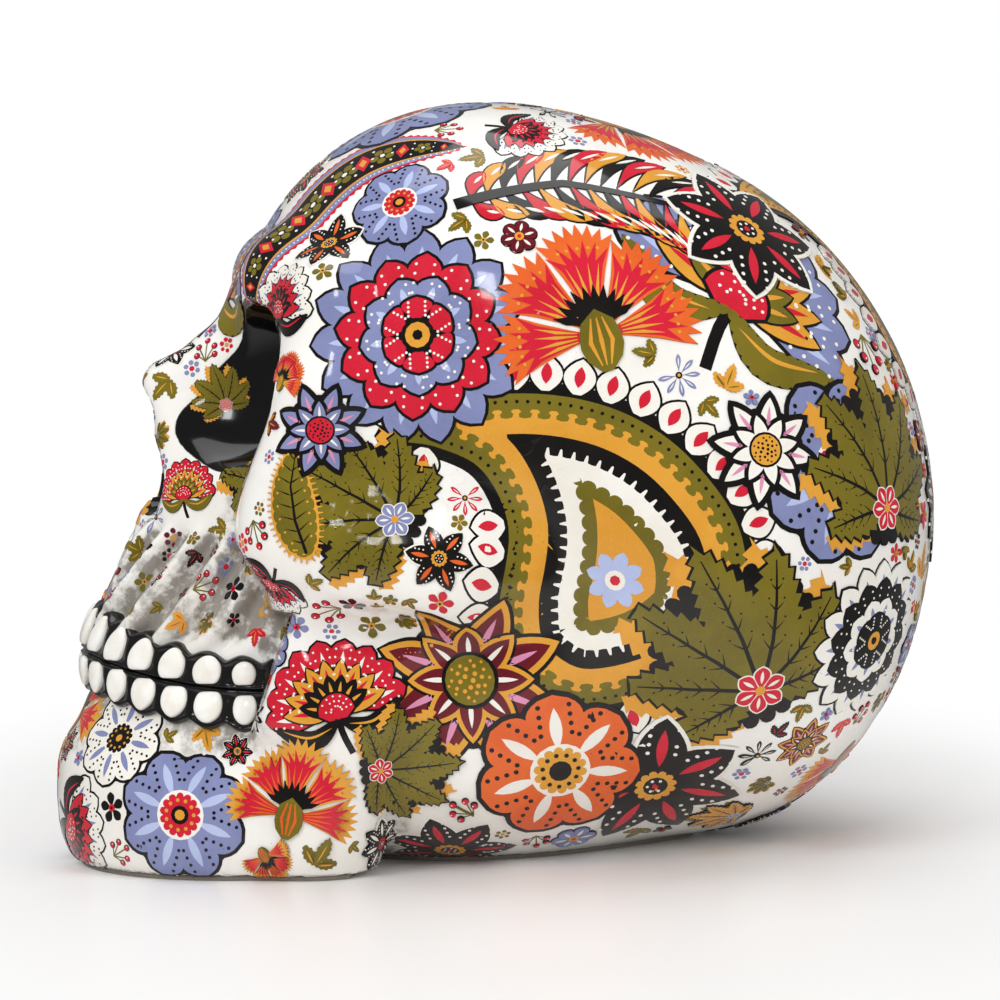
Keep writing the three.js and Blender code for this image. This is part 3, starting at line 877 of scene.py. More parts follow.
def makeTeeth():
    tree = toothTree()
    made = 0
    for row, upper in (("upper", True), ("lower", False)):
        for sideName, side in (("left", 1), ("right", -1)):
            for k in range(mouth["teethPerSide"]):
                name = "{}_{}_tooth_{}".format(row, sideName, k + 1)
                tall = teethForm[row + "Height"] * teethForm[row + "Shares"][k]
                mesh = grown(name + "_crown", tree, {
                    "Half Width": teethForm["width"] * teethForm["widthShares"][k] / 2000,
                    "Half Height": tall / 2000,
                    "Depth": teethForm["depth"] / 1000,
                    "Crown Peak": teethForm["peak"][k] if upper else teethForm["peak"][k] * 0.98,
                    "Root Lean": side * teethForm["lean"][k] * (1.0 if upper else -0.35),
                    "Root Up": 1.0 if upper else -1.0,
                    "Finish": toothFinish,
                })
                mesh.transform(toothSeat(side * (k + 0.5), upper))
                dress(linked(name + "_crown", mesh), (name,))
                made += 1
    return made


print("teeth made:", makeTeeth())

# Felt
feltForm = {
    "start": 5.0,  # from there outwards by a millimetre a step, then by halves
    "steps": 100,
    "halvings": 12,
    "middle": (0.0, -25.0),
    "inset": 0.7,
    "thickness": 1.0,
    "around": 360,
    "levels": (0.0, 0.25, 0.8, 1.0),
    "edge": 0.2,
}


def makeFelt():
    # goes out from the middle of the foot to its edge
    turns = np.linspace(0, 2 * math.pi, feltForm["around"], endpoint=False)
    ways = np.stack((np.sin(turns), np.cos(turns), np.zeros_like(turns)), axis=1)
    middle = np.array(feltForm["middle"] + (skull["floor"] + 0.05,))
    inner, outer = (np.full(len(turns), feltForm["start"]) for _ in range(2))
    for _ in range(feltForm["steps"]):
        outside = skinDistance(middle + ways * outer[:, None]) > 0
        outer = np.where(outside, outer, outer + 1.0)
        inner = np.where(outside, inner, outer - 1.0)
    for _ in range(feltForm["halvings"]):
        half = (inner + outer) / 2
        outside = skinDistance(middle + ways * half[:, None]) > 0
        inner, outer = np.where(outside, inner, half), np.where(outside, half, outer)
    rim = outer - feltForm["inset"]
    points = []
    for level, pull in zip(feltForm["levels"], (feltForm["edge"], 0, 0, feltForm["edge"])):
        points.append(middle * (1, 1, 0) + ways * (rim - pull)[:, None] + (0, 0, level * feltForm["thickness"]))
    points = np.concatenate(points)
    count = len(turns)
    faces = [tuple(range(count)), tuple(range(4 * count - 1, 3 * count - 1, -1))]
    for row in range(3):
        for i in range(count):
            n = (i + 1) % count
            faces.append((row * count + i, (row + 1) * count + i, (row + 1) * count + n, row * count + n))
    piece = ready("base_felt_pad", points, faces, feltFinish)
    return dress(piece, ("base_felt",))


makeFelt()
print("felt made")

# Drawing the print: real is to the right, imaginary is up, in millimetres
edgeKinds = {
    "saw": ((0, 0), (0.55, 1)),
    "lean": ((0, 0), (0.8, 1)),
    "lobe": ((0, 0), (0.1, 0.5), (0.28, 0.88), (0.5, 1), (0.72, 0.88), (0.9, 0.5)),
    "fringe": ((0, 0), (0.32, 0.06), (0.42, 0.9), (0.5, 1), (0.58, 0.9), (0.68, 0.06)),
    "coral": (
        (0, 0), (0.3, 0.12), (0.34, 0.5), (0.2, 0.75), (0.34, 1), (0.62, 1), (0.76, 0.78), (0.62, 0.5), (0.7, 0.12)),
}


def turn(degrees):
    return cmath.exp(1j * math.radians(degrees))


def smoothLine(points, steps=6, closed=False):
    points = np.asarray(points, complex)
    count = len(points)
    t = np.arange(steps) / steps
    parts = []
    for i in range(count if closed else count - 1):
        near = [points[(i + k) % count] if closed else points[min(max(i + k, 0), count - 1)] for k in (-1, 0, 1, 2)]
        parts.append(0.5 * (2 * near[1] + (near[2] - near[0]) * t
                            + (2 * near[0] - 5 * near[1] + 4 * near[2] - near[3]) * t ** 2
                            + (3 * near[1] - near[0] - 3 * near[2] + near[3]) * t ** 3))
    line = np.concatenate(parts)
    return line if closed else np.append(line, points[-1])


def along(line, spots):
    # places at shares of a line's length, and the way to its right
    run = np.concatenate(((0,), np.cumsum(np.abs(np.diff(line)))))
    spots = np.asarray(spots) * run[-1]
    small = run[-1] * 0.004

    def at(s):
        return np.interp(s, run, line.real) + 1j * np.interp(s, run, line.imag)

    ahead = at(spots + small) - at(spots - small)
    return at(spots), -1j * ahead / np.maximum(np.abs(ahead), 1e-9)


def edged(line, pitch, depth, kind, closed=True, fade=False):
    # teeth, lobes or fringes along a line, on its right-hand side
    line = np.append(line, line[0]) if closed else np.asarray(line)
    total = np.abs(np.diff(line)).sum()
    count = max(int(round(total / pitch)), 3)
    shape = np.array(edgeKinds[kind])
    spots = ((np.arange(count)[:, None] + shape[None, :, 0]).ravel() / count)
    rise = np.tile(shape[:, 1], count) * depth
    if fade:
        rise = rise * np.sin(np.pi * spots) ** 0.4
    at, right = along(line, spots)
    result = at + right * rise
    return result if closed else np.append(result, line[-1])


def swollen(loop, by):
    # a loop moved outwards all round
    ahead = np.roll(loop, -1) - np.roll(loop, 1)
    return loop - 1j * ahead / np.maximum(np.abs(ahead), 1e-9) * by


def disc(middle, radius, count=18, squash=1.0, tilt=0.0):
    angles = np.linspace(0, 2 * np.pi, count, endpoint=False)
    return middle + radius * (np.cos(angles) + 1j * squash * np.sin(angles)) * turn(tilt)


def band(spine, widths):
    # a closed shape round a line, with a half width at each share of it
    shares = np.linspace(0, 1, len(widths))
    at, right = along(np.asarray(spine, complex), shares)
    widths = np.asarray(widths)
    left = (at - right * widths)[::-1]
    keepLeft = left[1:] if widths[-1] < 1e-6 else left
    return np.concatenate((at + right * widths, keepLeft[:-1] if widths[0] < 1e-6 else keepLeft))


def profile(kind, count=15):
    t = np.linspace(0, 1, count)
    return {
        "leaf": np.sin(np.pi * t) ** 0.85,
        "drop": np.sin(np.pi * t ** 1.7) ** 0.8,
        "stroke": (1 - t) ** 0.8 * np.minimum(1, t * 12 + 0.25),
        "round": np.sin(np.pi * t ** 2.1) ** 0.6,
        "crescent": np.sin(np.pi * t) ** 1.1,
        "even": np.ones_like(t),
    }[kind]


def blade(points, width, kind="leaf", count=15):
    return band(smoothLine(points, 8), profile(kind, count) * width / 2)


def fanPetal(way, reach, spread, pitch, depth, kind="saw", dip=0.1):
    # a petal from the middle outwards with a toothed rim
    angles = np.radians(np.linspace(-spread, spread, 15))
    arc = reach * (1 - dip * (angles / angles[-1]) ** 2) * np.exp(1j * angles)
    rim = edged(arc, pitch, depth, kind, closed=False)
    low = reach * np.array((0.02, 0.3 * cmath.exp(-0.8j * angles[-1]), 0.65 * cmath.exp(-0.92j * angles[-1])))
    high = reach * np.array((0.65 * cmath.exp(0.92j * angles[-1]), 0.3 * cmath.exp(0.8j * angles[-1])))
    return np.concatenate((low, rim, high)) * way


class Sheet:
    # the shapes of one motif; a higher level lies on a lower one
    def __init__(self):
        self.shapes = []
        self.dots = []

    def add(self, ink, loop, level):
        self.shapes.append((ink, np.asarray(loop, complex), level))

    def dot(self, ink, at, radius, level):
        self.dots.append((ink, at, radius, level))

    def rimmed(self, ink, loop, by, level, rim="black"):
        # a shape over a wider one of another ink
        self.add(rim, swollen(loop, by), level)
        self.add(ink, loop, level + 1)

    def dotsRound(self, ink, count, reach, radius, level):
        for k in range(count):
            self.dot(ink, turn(360 / count * k) * reach, radius, level)

    def discs(self, at, *rows):
        for ink, radius, sides, level in rows:
            self.add(ink, disc(at, radius, sides), level)


def dotRow(sheet, ink, line, pitch, radius, level, side=0.0):
    line = np.asarray(line, complex)
    count = max(int(np.abs(np.diff(line)).sum() / pitch), 2)
    at, right = along(line, (np.arange(count) + 0.5) / count)
    for spot in at + right * side:
        sheet.dot(ink, spot, radius, level)


def sprinkle(sheet, ink, middle, radii, count, radius, level, seed=1):
    # dots spread evenly over a ring, smaller outwards
    chance = random.Random(seed)
    for k in range(count):
        share = (k + 0.5) / count
        reach = (radii[0] ** 2 + (radii[1] ** 2 - radii[0] ** 2) * share) ** 0.5
        at = middle + reach * turn(137.5 * k + chance.uniform(-6, 6))
        sheet.dot(ink, at, radius * (1.15 - 0.5 * share), level)


# Motifs
strokes = {"blue": "paleBlue", "white": "blue"}  # the stroke on a petal of that ink; white on the others


def petalRing(sheet, inksUsed, count, reach, wide, level, kind="drop", low=0.0, sweep=360, start=90, dots=None):
    # petals round the middle or in a fan: a rim, the petal, a stroke along it and two rows of dots
    rim, body, stroke = inksUsed
    for k in range(count):
        way = turn(start + (k + 0.5 - count / 2) * sweep / count) * reach
        petal = blade((way * low, way * (1 + low) / 2, way), wide, kind, 19 if kind == "round" else 13)
        if rim:
            sheet.add(rim, swollen(petal, wide * 0.09), level)
        sheet.add(body, petal, level + 1)
        if stroke:
            sheet.add(stroke, blade((way * (low * 0.7 + 0.3), way * 0.84), wide * 0.22, "leaf", 7), level + 2)
        for share in (0.5, 0.62, 0.74, 0.86) if dots else ():
            for s in (-1, 1):
                sheet.dot(dots, way * share + way * 1j * s * wide / reach * 0.27, wide * 0.045, level + 2)


def carnation(r, outer="orange", inner="red", vein="yellow", base="olive"):
    sheet = Sheet()
    for k in (-2, 2, -1, 1, 0):
        way = turn(90 + k * 43)
        level = 1
        reach = r * (1.04 - 0.07 * abs(k))
        sheet.add(outer, fanPetal(way, reach, 20.5, r * 0.1, r * 0.13), level)
        sheet.add(inner, fanPetal(way, reach * 0.76, 16.5, r * 0.085, r * 0.2), level + 1)
        for s in (-11, -4, 4, 11):
            spot = turn(s) * way
            sheet.add(vein, band(np.array((spot * r * 0.22, spot * reach * 0.5, spot * reach * 0.7 * turn(s * 0.2))),
                                 np.array((0.1, r * 0.016, 0.02))), level + 2)
        for s in (-13, -7, 0, 7, 13):
            sheet.dot(vein, way * turn(s) * reach * 0.86, r * 0.018, level + 2)
    sheet.add("black", fanPetal(turn(90), r * 0.38, 62, r * 0.08, r * 0.13), 4)
    sheet.add(base, band(np.array((-0.36j * r, 0j, 0.26j * r)), r * np.array((0.05, 0.17, 0.21, 0.2, 0.16, 0.0))), 5)
    for side in (-0.11, 0, 0.11):
        rib = r * np.array((side * 0.4 - 0.3j, side - 0.04j, side * 0.5 + 0.17j))
        sheet.add(vein, band(smoothLine(rib, 6), np.array((0.12, r * 0.022, 0.12))), 6)
    return sheet


def wheelBloom(r, petals=8, outer="blue", centre="red", seed="yellow"):
    sheet = Sheet()
    sheet.add("black", disc(0j, r * 0.92, 28), 0)
    inksUsed = ("black", outer, strokes.get(outer, "white"))
    petalRing(sheet, inksUsed, petals, r, r * 4.9 / petals, 0, "round", dots="black")
    sheet.add("white", disc(0j, r * 0.37, 20), 3)
    sheet.add(centre, edged(disc(0j, r * 0.27, 24), r * 0.12, r * 0.06, "lobe"), 4)
    sheet.dotsRound(seed, 11, r * 0.22, r * 0.03, 5)
    sheet.discs(0j, ("black", r * 0.14, 12, 5), (seed, r * 0.08, 10, 6))
    return sheet


def dahlia(r, outer="blue", inner="red"):
    # rings of petals one on the other
    sheet = Sheet()
    sheet.add("black", disc(0j, r * 0.75, 24), 0)
    for n, (reach, count) in enumerate(((1.0, 15), (0.77, 12), (0.55, 9), (0.35, 6))):
        body = inner if n % 2 else outer
        stroke = None if n % 2 else strokes.get(outer, "white")
        petalRing(sheet, ("black", body, stroke), count, r * reach, r * reach * 5.1 / count, n * 3, "drop", 0.3,
                  start=90 + n * 11, dots=("black" if inner == "white" else "white") if n % 2 else None)
    sheet.discs(0j, ("black", r * 0.16, 14, 12), ("yellow", r * 0.12, 12, 13))
    sheet.dot("black", 0j, r * 0.05, 14)
    return sheet


def nightBloom(r, petals=7, flame="red", heart="yellow"):
    # pointed dark petals dotted with white
    sheet = Sheet()
    petalRing(sheet, ("white", "black", flame), petals, r, r * 0.56, 0, "leaf", dots="white")
    sheet.add(heart, edged(disc(0j, r * 0.19, 20), r * 0.1, r * 0.05, "lobe"), 4)
    sheet.add("black", disc(0j, r * 0.14, 12), 5)
    sheet.dotsRound("white", 6, r * 0.09, r * 0.02, 6)
    sheet.dot(flame, 0j, r * 0.04, 6)
    return sheet


def leafSpray(length, body="olive", behind="yellow", vein="black", heart="red"):
    # pointed saw-edged leaves that fan out from one root over a dark ground, with a small flower on the root
    sheet = Sheet()
    if length > 9:
        sheet.add("black", edged(disc(0.3j * length, length * 0.5, 30), length * 0.11, length * 0.06, "lobe"), 1)
    for spin, reach in ((-104, 0.56), (100, 0.6), (-68, 0.76), (64, 0.8), (-33, 0.9), (31, 0.94), (-2, 1.0)):
        way = turn(90 + spin) * length * reach
        spine = np.array((0j, way * 0.35 * turn(-5), way * 0.7 * turn(-2), way))
        leaf = edged(blade(spine, length * 0.31 * reach ** 0.5), length * 0.085, length * 0.04, "lean")
        sheet.add(behind, leaf * 1.05 * turn(9), 0)
        sheet.rimmed(body, leaf, length * 0.02, 1)
        line = smoothLine(spine, 6)
        sheet.add(vein, band(line[2:-2], length * np.array((0.014, 0.012, 0.009, 0.004))), 3)
        for share in (0.3, 0.44, 0.58, 0.72):
            at, right = along(line, (share,))
            for s in (-1, 1):
                tip = at[0] + (right[0] * s + right[0] * 1.1j) * length * 0.075 * (1.25 - share)
                sheet.add(vein, blade((at[0], tip), length * 0.013, "stroke", 5), 3)
                sheet.dot(vein, tip + right[0] * 0.022j * length, length * 0.0065, 3)
    petalRing(sheet, ("white", heart, "white"), 6, length * 0.16, length * 0.1, 4)
    sheet.dot("yellow", 0j, length * 0.034, 7)
    return sheet


def botehLoop(size):
    # paisley outline, round below and bent over to a tip
    points = (0 - 0.55j, 0.3 - 0.47j, 0.46 - 0.2j, 0.43 + 0.1j, 0.3 + 0.34j, 0.08 + 0.52j, -0.2 + 0.63j,
              -0.44 + 0.62j, -0.3 + 0.52j, -0.2 + 0.38j, -0.22 + 0.17j, -0.36 - 0.02j, -0.43 - 0.24j, -0.3 - 0.47j)
    return smoothLine(np.array(points) * size, 6, True)


def inward(loop, by):
    # a loop moved inwards, without the parts that would cross
    at, right = along(np.append(loop, loop[0]), np.linspace(0, 1, 180, endpoint=False))
    moved = at - right * by
    gap = np.abs(moved[:, None] - at[None, :]).min(axis=1)
    return moved[gap > by * 0.97]


def boteh(size, first="yellow", second="olive", beads="white"):
    sheet = Sheet()
    outline = botehLoop(size)
    bead = size * 0.1
    rim = np.append(outline, outline[0])
    count = int(np.abs(np.diff(rim)).sum() / bead)
    at, right = along(rim, (np.arange(count) + 0.5) / count)
    sheet.add("black", swollen(outline, size * 0.035), 0)
    keep = [spot for spot in range(count) if np.abs(at[spot] - (-0.24 + 0.36j) * size) > size * 0.17]
    for k in keep:
        spot, way = at[k], right[k] * size
        flame = blade((spot, spot + way * 0.06, spot + way * 0.125), bead * 1.05, "leaf", 11)
        sheet.rimmed(beads, flame, size * 0.008, 0)
        sheet.add("red", blade((spot + way * 0.03, spot + way * 0.1), bead * 0.36, "leaf", 7), 2)
    sheet.add("black", swollen(outline, size * 0.008), 2)
    sheet.add(first, inward(outline, size * 0.004), 3)
    sheet.add(second, edged(inward(outline, size * 0.085), size * 0.06, size * 0.03, "coral"), 4)
    dotRow(sheet, "black", inward(outline, size * 0.03), size * 0.035, size * 0.006, 4)
    sheet.add("black", inward(outline, size * 0.135), 5)
    sheet.add("white", edged(inward(outline, size * 0.2), size * 0.042, size * 0.026, "fringe"), 6)
    sheet.add(first, edged(inward(outline, size * 0.265), size * 0.05, size * 0.016, "lobe"), 7)
    sheet.add(second, inward(outline, size * 0.3), 8)
    heart = 0.02 * size - 0.14j * size
    for k in range(8):
        sheet.add("paleBlue", blade((heart, heart + turn(45 * k) * size * 0.1), size * 0.05, "drop", 9), 9)
    sheet.add("white", disc(heart, size * 0.035, 12), 10)
    sheet.dot("red", heart, size * 0.018, 11)
    return sheet


def plume(length, inksUsed=("red", "yellow", "black")):
    # a curved feather of separate barbs with an eye at its tip
    sheet = Sheet()
    spine = smoothLine(np.array((0j, 0.3 + 0.1j, 0.62 + 0.12j, 1.0 - 0.02j)) * length, 10)
    for k in range(17):
        share = 0.05 + 0.05 * k
        at, right = along(spine, (share,))
        ahead = right[0] * 1j
        reach = length * (0.07 + 0.16 * math.sin(math.pi * share) ** 0.8)
        body = inksUsed[k % 3]
        for s in (-1, 1):
            tip = at[0] + (right[0] * s * 0.85 + ahead * 0.75) * reach
            middle = at[0] + (right[0] * s * 0.55 + ahead * 0.28) * reach
            barb = blade((at[0], middle, tip), length * 0.055, "drop", 11)
            sheet.rimmed(body, barb, length * 0.006, 0)
            sheet.add("white", blade((middle, tip * 0.7 + middle * 0.3), length * 0.011, "leaf", 5), 2)
    sheet.add("black", band(spine, length * np.array((0.02, 0.015, 0.011, 0.004))), 3)
    for size, shade, level in ((0.085, "black", 4), (0.072, inksUsed[1], 5), (0.05, "blue", 6), (0.026, "red", 7)):
        sheet.add(shade, disc(spine[-6], length * size, 16, 0.8, -8), level)
    return sheet


def sunFan(r, rim="blue", fringe="yellow", deep="olive"):
    # half a flower seen from its side, over two leaves
    sheet = Sheet()
    sheet.add("black", blade((-0.05j * r, -0.3j * r, 0.06 * r - 0.6j * r), r * 0.09, "even", 6), 0)
    petalRing(sheet, ("black", rim, strokes.get(rim, "white")), 9, r, r * 0.37, 0, "round", sweep=190,
              dots="black" if rim == "white" else "white")
    petalRing(sheet, ("black", fringe, "red"), 9, r * 0.72, r * 0.25, 3, "leaf", sweep=180)
    petalRing(sheet, ("black", deep, fringe), 7, r * 0.5, r * 0.2, 6, "leaf", sweep=160)
    dome = np.append(np.exp(1j * np.linspace(0, math.pi, 15)), (-0.5 - 0.4j, 0.5 - 0.4j)) * r * 0.25
    sheet.rimmed("red", dome, r * 0.03, 9)
    for k in range(18):
        sheet.dot("white", turn(12 + 26 * (k % 7)) * r * 0.08 * (1 + k % 3 * 0.85), r * 0.014, 11)
    for s in (-1, 1):
        leaf = blade((-0.1j * r, (s * 0.42 - 0.3j) * r, (s * 0.9 - 0.02j) * r), r * 0.24, "leaf", 13)
        sheet.add("black", swollen(leaf, r * 0.02), 9)
        sheet.add(deep, edged(leaf, r * 0.09, r * 0.02, "lobe"), 10)
        vein = (s * 0.12 * r - 0.19j * r, (s * 0.45 - 0.24j) * r, s * 0.78 * r - 0.07j * r)
        sheet.add(fringe, blade(vein, r * 0.035), 11)
    return sheet


def garland(points, width, edge="blue", field="black"):
    # a long curved band with a row of small flowers and diamonds
    sheet = Sheet()
    line = smoothLine(points, 10)
    swell = profile("crescent", 31) ** 0.6
    sheet.add("red", edged(band(line, swell * width * 0.62), width * 0.14, width * 0.05, "saw"), 0)
    for share, ink, level in ((0.58, edge, 1), (0.44, "yellow", 2), (0.39, field, 3)):
        sheet.add(ink, band(line, swell * width * share), level)
    total = np.abs(np.diff(line)).sum()
    count = int(total / (width * 0.36))
    for k in range(2 * count):
        share = 0.05 + 0.9 * (k + 0.5) / (2 * count)
        at, right = along(line, (share,))
        size = width * 0.27 * math.sin(math.pi * share) ** 0.66
        if k % 4 == 1:
            diamond = np.array((1, 0.6j, -1, -0.6j)) * right[0] * size
            sheet.add("red", at[0] + diamond, 4)
            sheet.add("yellow", at[0] + diamond * 0.5, 5)
        elif k % 4 == 3:
            for s in range(5):
                sheet.add("olive", disc(at[0] + right[0] * turn(72 * s) * size * 0.62, size * 0.34, 9), 4)
            sheet.dot("white", at[0], size * 0.2, 5)
        else:
            for s in (-0.9, 0, 0.9):
                sheet.dot("white", at[0] + right[0] * s * size, size * 0.11, 4)
    shares = (np.arange(int(total / (width * 0.09))) + 0.5) / int(total / (width * 0.09))
    at, right = along(line, shares)
    for spot in at + right * width * 0.51 * np.sin(np.pi * shares) ** 0.66:
        sheet.dot("white", spot, width * 0.016, 2)
    return sheet


def lotus(r, petals=8, outer="maroon", edge="yellow", heart="olive"):
    sheet = Sheet()
    sheet.add("black", disc(0j, r * 0.72, 24), 0)
    for reach, wide, level, stroke in ((r, r * 0.43, 0, "pink"), (r * 0.66, r * 0.32, 3, "white")):
        start = 90 + level * 7.5
        petalRing(sheet, ("black", edge, None), petals, reach, wide, level, "leaf", start=start)
        petalRing(sheet, (None, outer, stroke), petals, reach * 0.9, wide * 0.74, level + 1, "leaf", start=start)
    sheet.discs(0j, ("black", r * 0.3, 18, 7), (heart, r * 0.26, 18, 8))
    sprinkle(sheet, edge, 0j, (r * 0.02, r * 0.23), 26, r * 0.024, 9)
    return sheet


def fern(length, body="olive", rim="yellow", seeds=True):
    sheet = Sheet()
    spine = np.array((0j, 0.35 + 0.06j, 0.7 + 0.04j, 1.0 - 0.08j)) * length
    line = smoothLine(spine, 8)
    shares = np.linspace(0, 1, 17)
    at, right = along(line, shares)
    half = np.sin(np.pi * shares ** 0.75) ** 0.7 * length * 0.2
    loop = np.concatenate((at + right * half, (at - right * half)[::-1][1:-1]))
    sheet.add(rim, edged(loop, length * 0.05, length * 0.045, "fringe"), 0)
    sheet.add(body, edged(inward(loop, length * 0.035), length * 0.1, length * 0.02, "lobe"), 1)
    sheet.add("black", band(line[2:-3], length * np.array((0.014, 0.012, 0.008, 0.003))), 2)
    for k, share in enumerate(np.linspace(0.15, 0.85, 8)):
        spot, side = along(line, (share,))
        for s in (-1, 1):
            tip = spot[0] + side[0] * s * length * 0.13 * math.sin(math.pi * share ** 0.75) + length * 0.06
            sheet.add("black", blade((spot[0], tip), length * 0.016, "stroke", 5), 2)
            if seeds:
                sheet.dot(rim, tip - length * 0.03, length * 0.011, 2)
    return sheet


def daisy(r, petals=6, ink="blue", heart="yellow"):
    sheet = Sheet()
    petalRing(sheet, ("black", ink, "white"), petals, r, r * 4.2 / petals, 0, "round")
    sheet.add(heart, disc(0j, r * 0.26, 12), 3)
    sheet.dot("red", 0j, r * 0.12, 4)
    return sheet


def dropSpray(r, count=7, first="red", second="white", spread=150):
    sheet = Sheet()
    petalRing(sheet, (None, first, second), count, r, r * 0.24, 0, low=0.15, sweep=spread)
    sheet.add("black", disc(0j, r * 0.16, 10), 3)
    sheet.dot("yellow", 0j, r * 0.08, 4)
    return sheet


# Laying the drawings on the skin
printForm = {
    "lift": 0.05,  # height of the lowest ink over the skin
    "step": 0.02,  # more for each ink that lies under it
    "sink": 0.25,
    "stride": 2.2,
    "pitches": (2.2, 1.4, 0.95, 0.65),  # the tighter the skin is curved, the finer
    "sag": 0.6,  # how much of a step a face may cut short
    "cell": 2.2,
    "mostFaces": 180000,
    "dotSides": 7,
    "dotThickness": 0.3,
}


def filled(loop, pitch):
    # corners and triangles that fill a loop, none much longer than the pitch
    ends = np.roll(loop, -1)
    spans = np.maximum(np.ceil(np.abs(ends - loop) / pitch).astype(int), 1)
    edge = np.concatenate([
        start + (end - start) * np.arange(count) / count for start, end, count in zip(loop, ends, spans)])
    across = np.arange(edge.real.min() + pitch / 2, edge.real.max(), pitch)
    up = np.arange(edge.imag.min() + pitch / 2, edge.imag.max(), pitch * 0.87)
    spots = edge
    if len(across) and len(up):
        shifted = np.where(np.arange(len(up)) % 2, pitch / 2, 0)
        spot = (across[None, :] + shifted[:, None] + 1j * up[:, None]).ravel()[:, None]
        first, second = edge[None, :], np.roll(edge, -1)[None, :]
        crosses = (first.imag > spot.imag) != (second.imag > spot.imag)
        rise = np.where(crosses, second.imag - first.imag, 1)
        meets = first.real + (second.real - first.real) * (spot.imag - first.imag) / rise
        inside = (crosses & (spot.real < meets)).sum(axis=1) % 2 == 1
        clear = np.abs(spot - first).min(axis=1) > pitch * 0.55
        spots = np.concatenate((edge, spot[inside & clear, 0]))
    result = delaunay_2d_cdt([(p.real, p.imag) for p in spots], [], [list(range(len(edge)))], 1, 1e-4)
    corners = np.array([c[0] + 1j * c[1] for c in result[0]])
    faces = np.array([f for f in result[2] if len(f) == 3], int).reshape(-1, 3)
    a, b, c = (corners[faces[:, k]] for k in range(3))
    area = ((b - a).conjugate() * (c - a)).imag
    faces = np.where((area < 0)[:, None], faces[:, ::-1], faces)
    return corners, faces[np.abs(area) > 1e-7]


def walked(spots, start, right, up):
    # goes over the skin from the start, as far and in the way that each spot of the drawing lies
    reach = np.maximum(np.abs(spots), 1e-9)
    steps = max(int(math.ceil(reach.max() / printForm["stride"])), 1)
    way = (right[None, :] * spots.real[:, None] + up[None, :] * spots.imag[:, None]) / reach[:, None]
    points = np.repeat(start[None, :], len(spots), axis=0)
    for _ in range(steps):
        points = points + way * (reach / steps)[:, None]
        here, slope = lookUp(points)
        length = np.maximum(np.linalg.norm(slope, axis=1), 1e-6)
        outwards = slope / length[:, None]
        points = points - outwards * (here / length)[:, None]
        way = way - outwards * (way * outwards).sum(axis=1)[:, None]
        way /= np.maximum(np.linalg.norm(way, axis=1), 1e-9)[:, None]
    return points


# how tightly the skin is curved, on the same grid
bends = [np.gradient(slopes[..., k], gridAxes[k], axis=k) for k in range(3)]
bentStore = np.linalg.norm(np.stack(bends, axis=-1), axis=-1)


def bentAt(points, store=bentStore):
    spots = [np.clip(np.rint(np.interp(points[:, k], gridAxes[k], np.arange(len(gridAxes[k])))).astype(int),
                     1, len(gridAxes[k]) - 2) for k in range(3)]
    return store[tuple(spots)]


def tightestNear(points):
    # the tightest curve within a few steps of the grid
    most = bentStore
    for axis in range(3):
        for _ in range(2):
            most = np.maximum(most, np.maximum(np.roll(most, 1, axis), np.roll(most, -1, axis)))
    return bentAt(points, most)


# rays that a design is thrown along onto the skin
throw = {"middle": (0, -0.04, 0.46), "fromOutside": 150, "fromCamera": 820, "steps": 60, "share": 0.8}


def startAt(where):
    # a place on the skin: a pixel of the picture, that pixel on the far side, a direction or a point
    kind, first, second = where
    if kind == "at":
        point = np.array(first, float)
    elif kind == "facing":
        lon, lat = math.radians(first), math.radians(second)
        way = np.array((math.sin(lon) * math.cos(lat), -math.cos(lon) * math.cos(lat), math.sin(lat)))
        point = place(throw["middle"]) + way * throw["fromOutside"]
        way = -way
    else:
        across, up, ahead = cameraAxes(cameraView)
        scale = cameraView["lens"] / cameraView["sensor"] * cameraView["imageSize"]
        half = cameraView["imageSize"] / 2
        way = unit(ahead * scale + across * (first - half) - up * (second - half))
        point = np.array(cameraView["target"]) - ahead * cameraView["distance"] + way * throw["fromCamera"]
    for _ in range(0 if kind == "at" else throw["steps"]):
        point = point + way * float(skinDistance(point[None, :])[0]) * throw["share"]
    if kind == "farSide":
        point = point * (-1, 1, 1)
    points, outwards = settled(point[None, :], 2)
    outwards = outwards[0]
    hint = np.array((0.0, 0.0, 1.0)) if abs(outwards[2]) < 0.95 else np.array((0.0, 1.0, 0.0))
    up = unit(hint - outwards * (hint @ outwards))
    return points[0], np.cross(up, outwards), up


class InkLayer:
    # everything printed in one colour
    def __init__(self):
        self.points, self.levels, self.faces, self.count = [], [], [], 0
        self.dots, self.dotLevels, self.dotSizes = [], [], []


layers = {name: InkLayer() for name in inks}
topLevels = {}  # highest ink so far in each small cube of space
printedSpots = []


def cellsOf(points, faces):
    # the small cubes of space that a shape touches, by its corners and the middles of its faces
    spots = np.concatenate((points, points[faces].mean(axis=1)))
    return list(map(tuple, np.unique((spots / printForm["cell"]).round().astype(int), axis=0)))


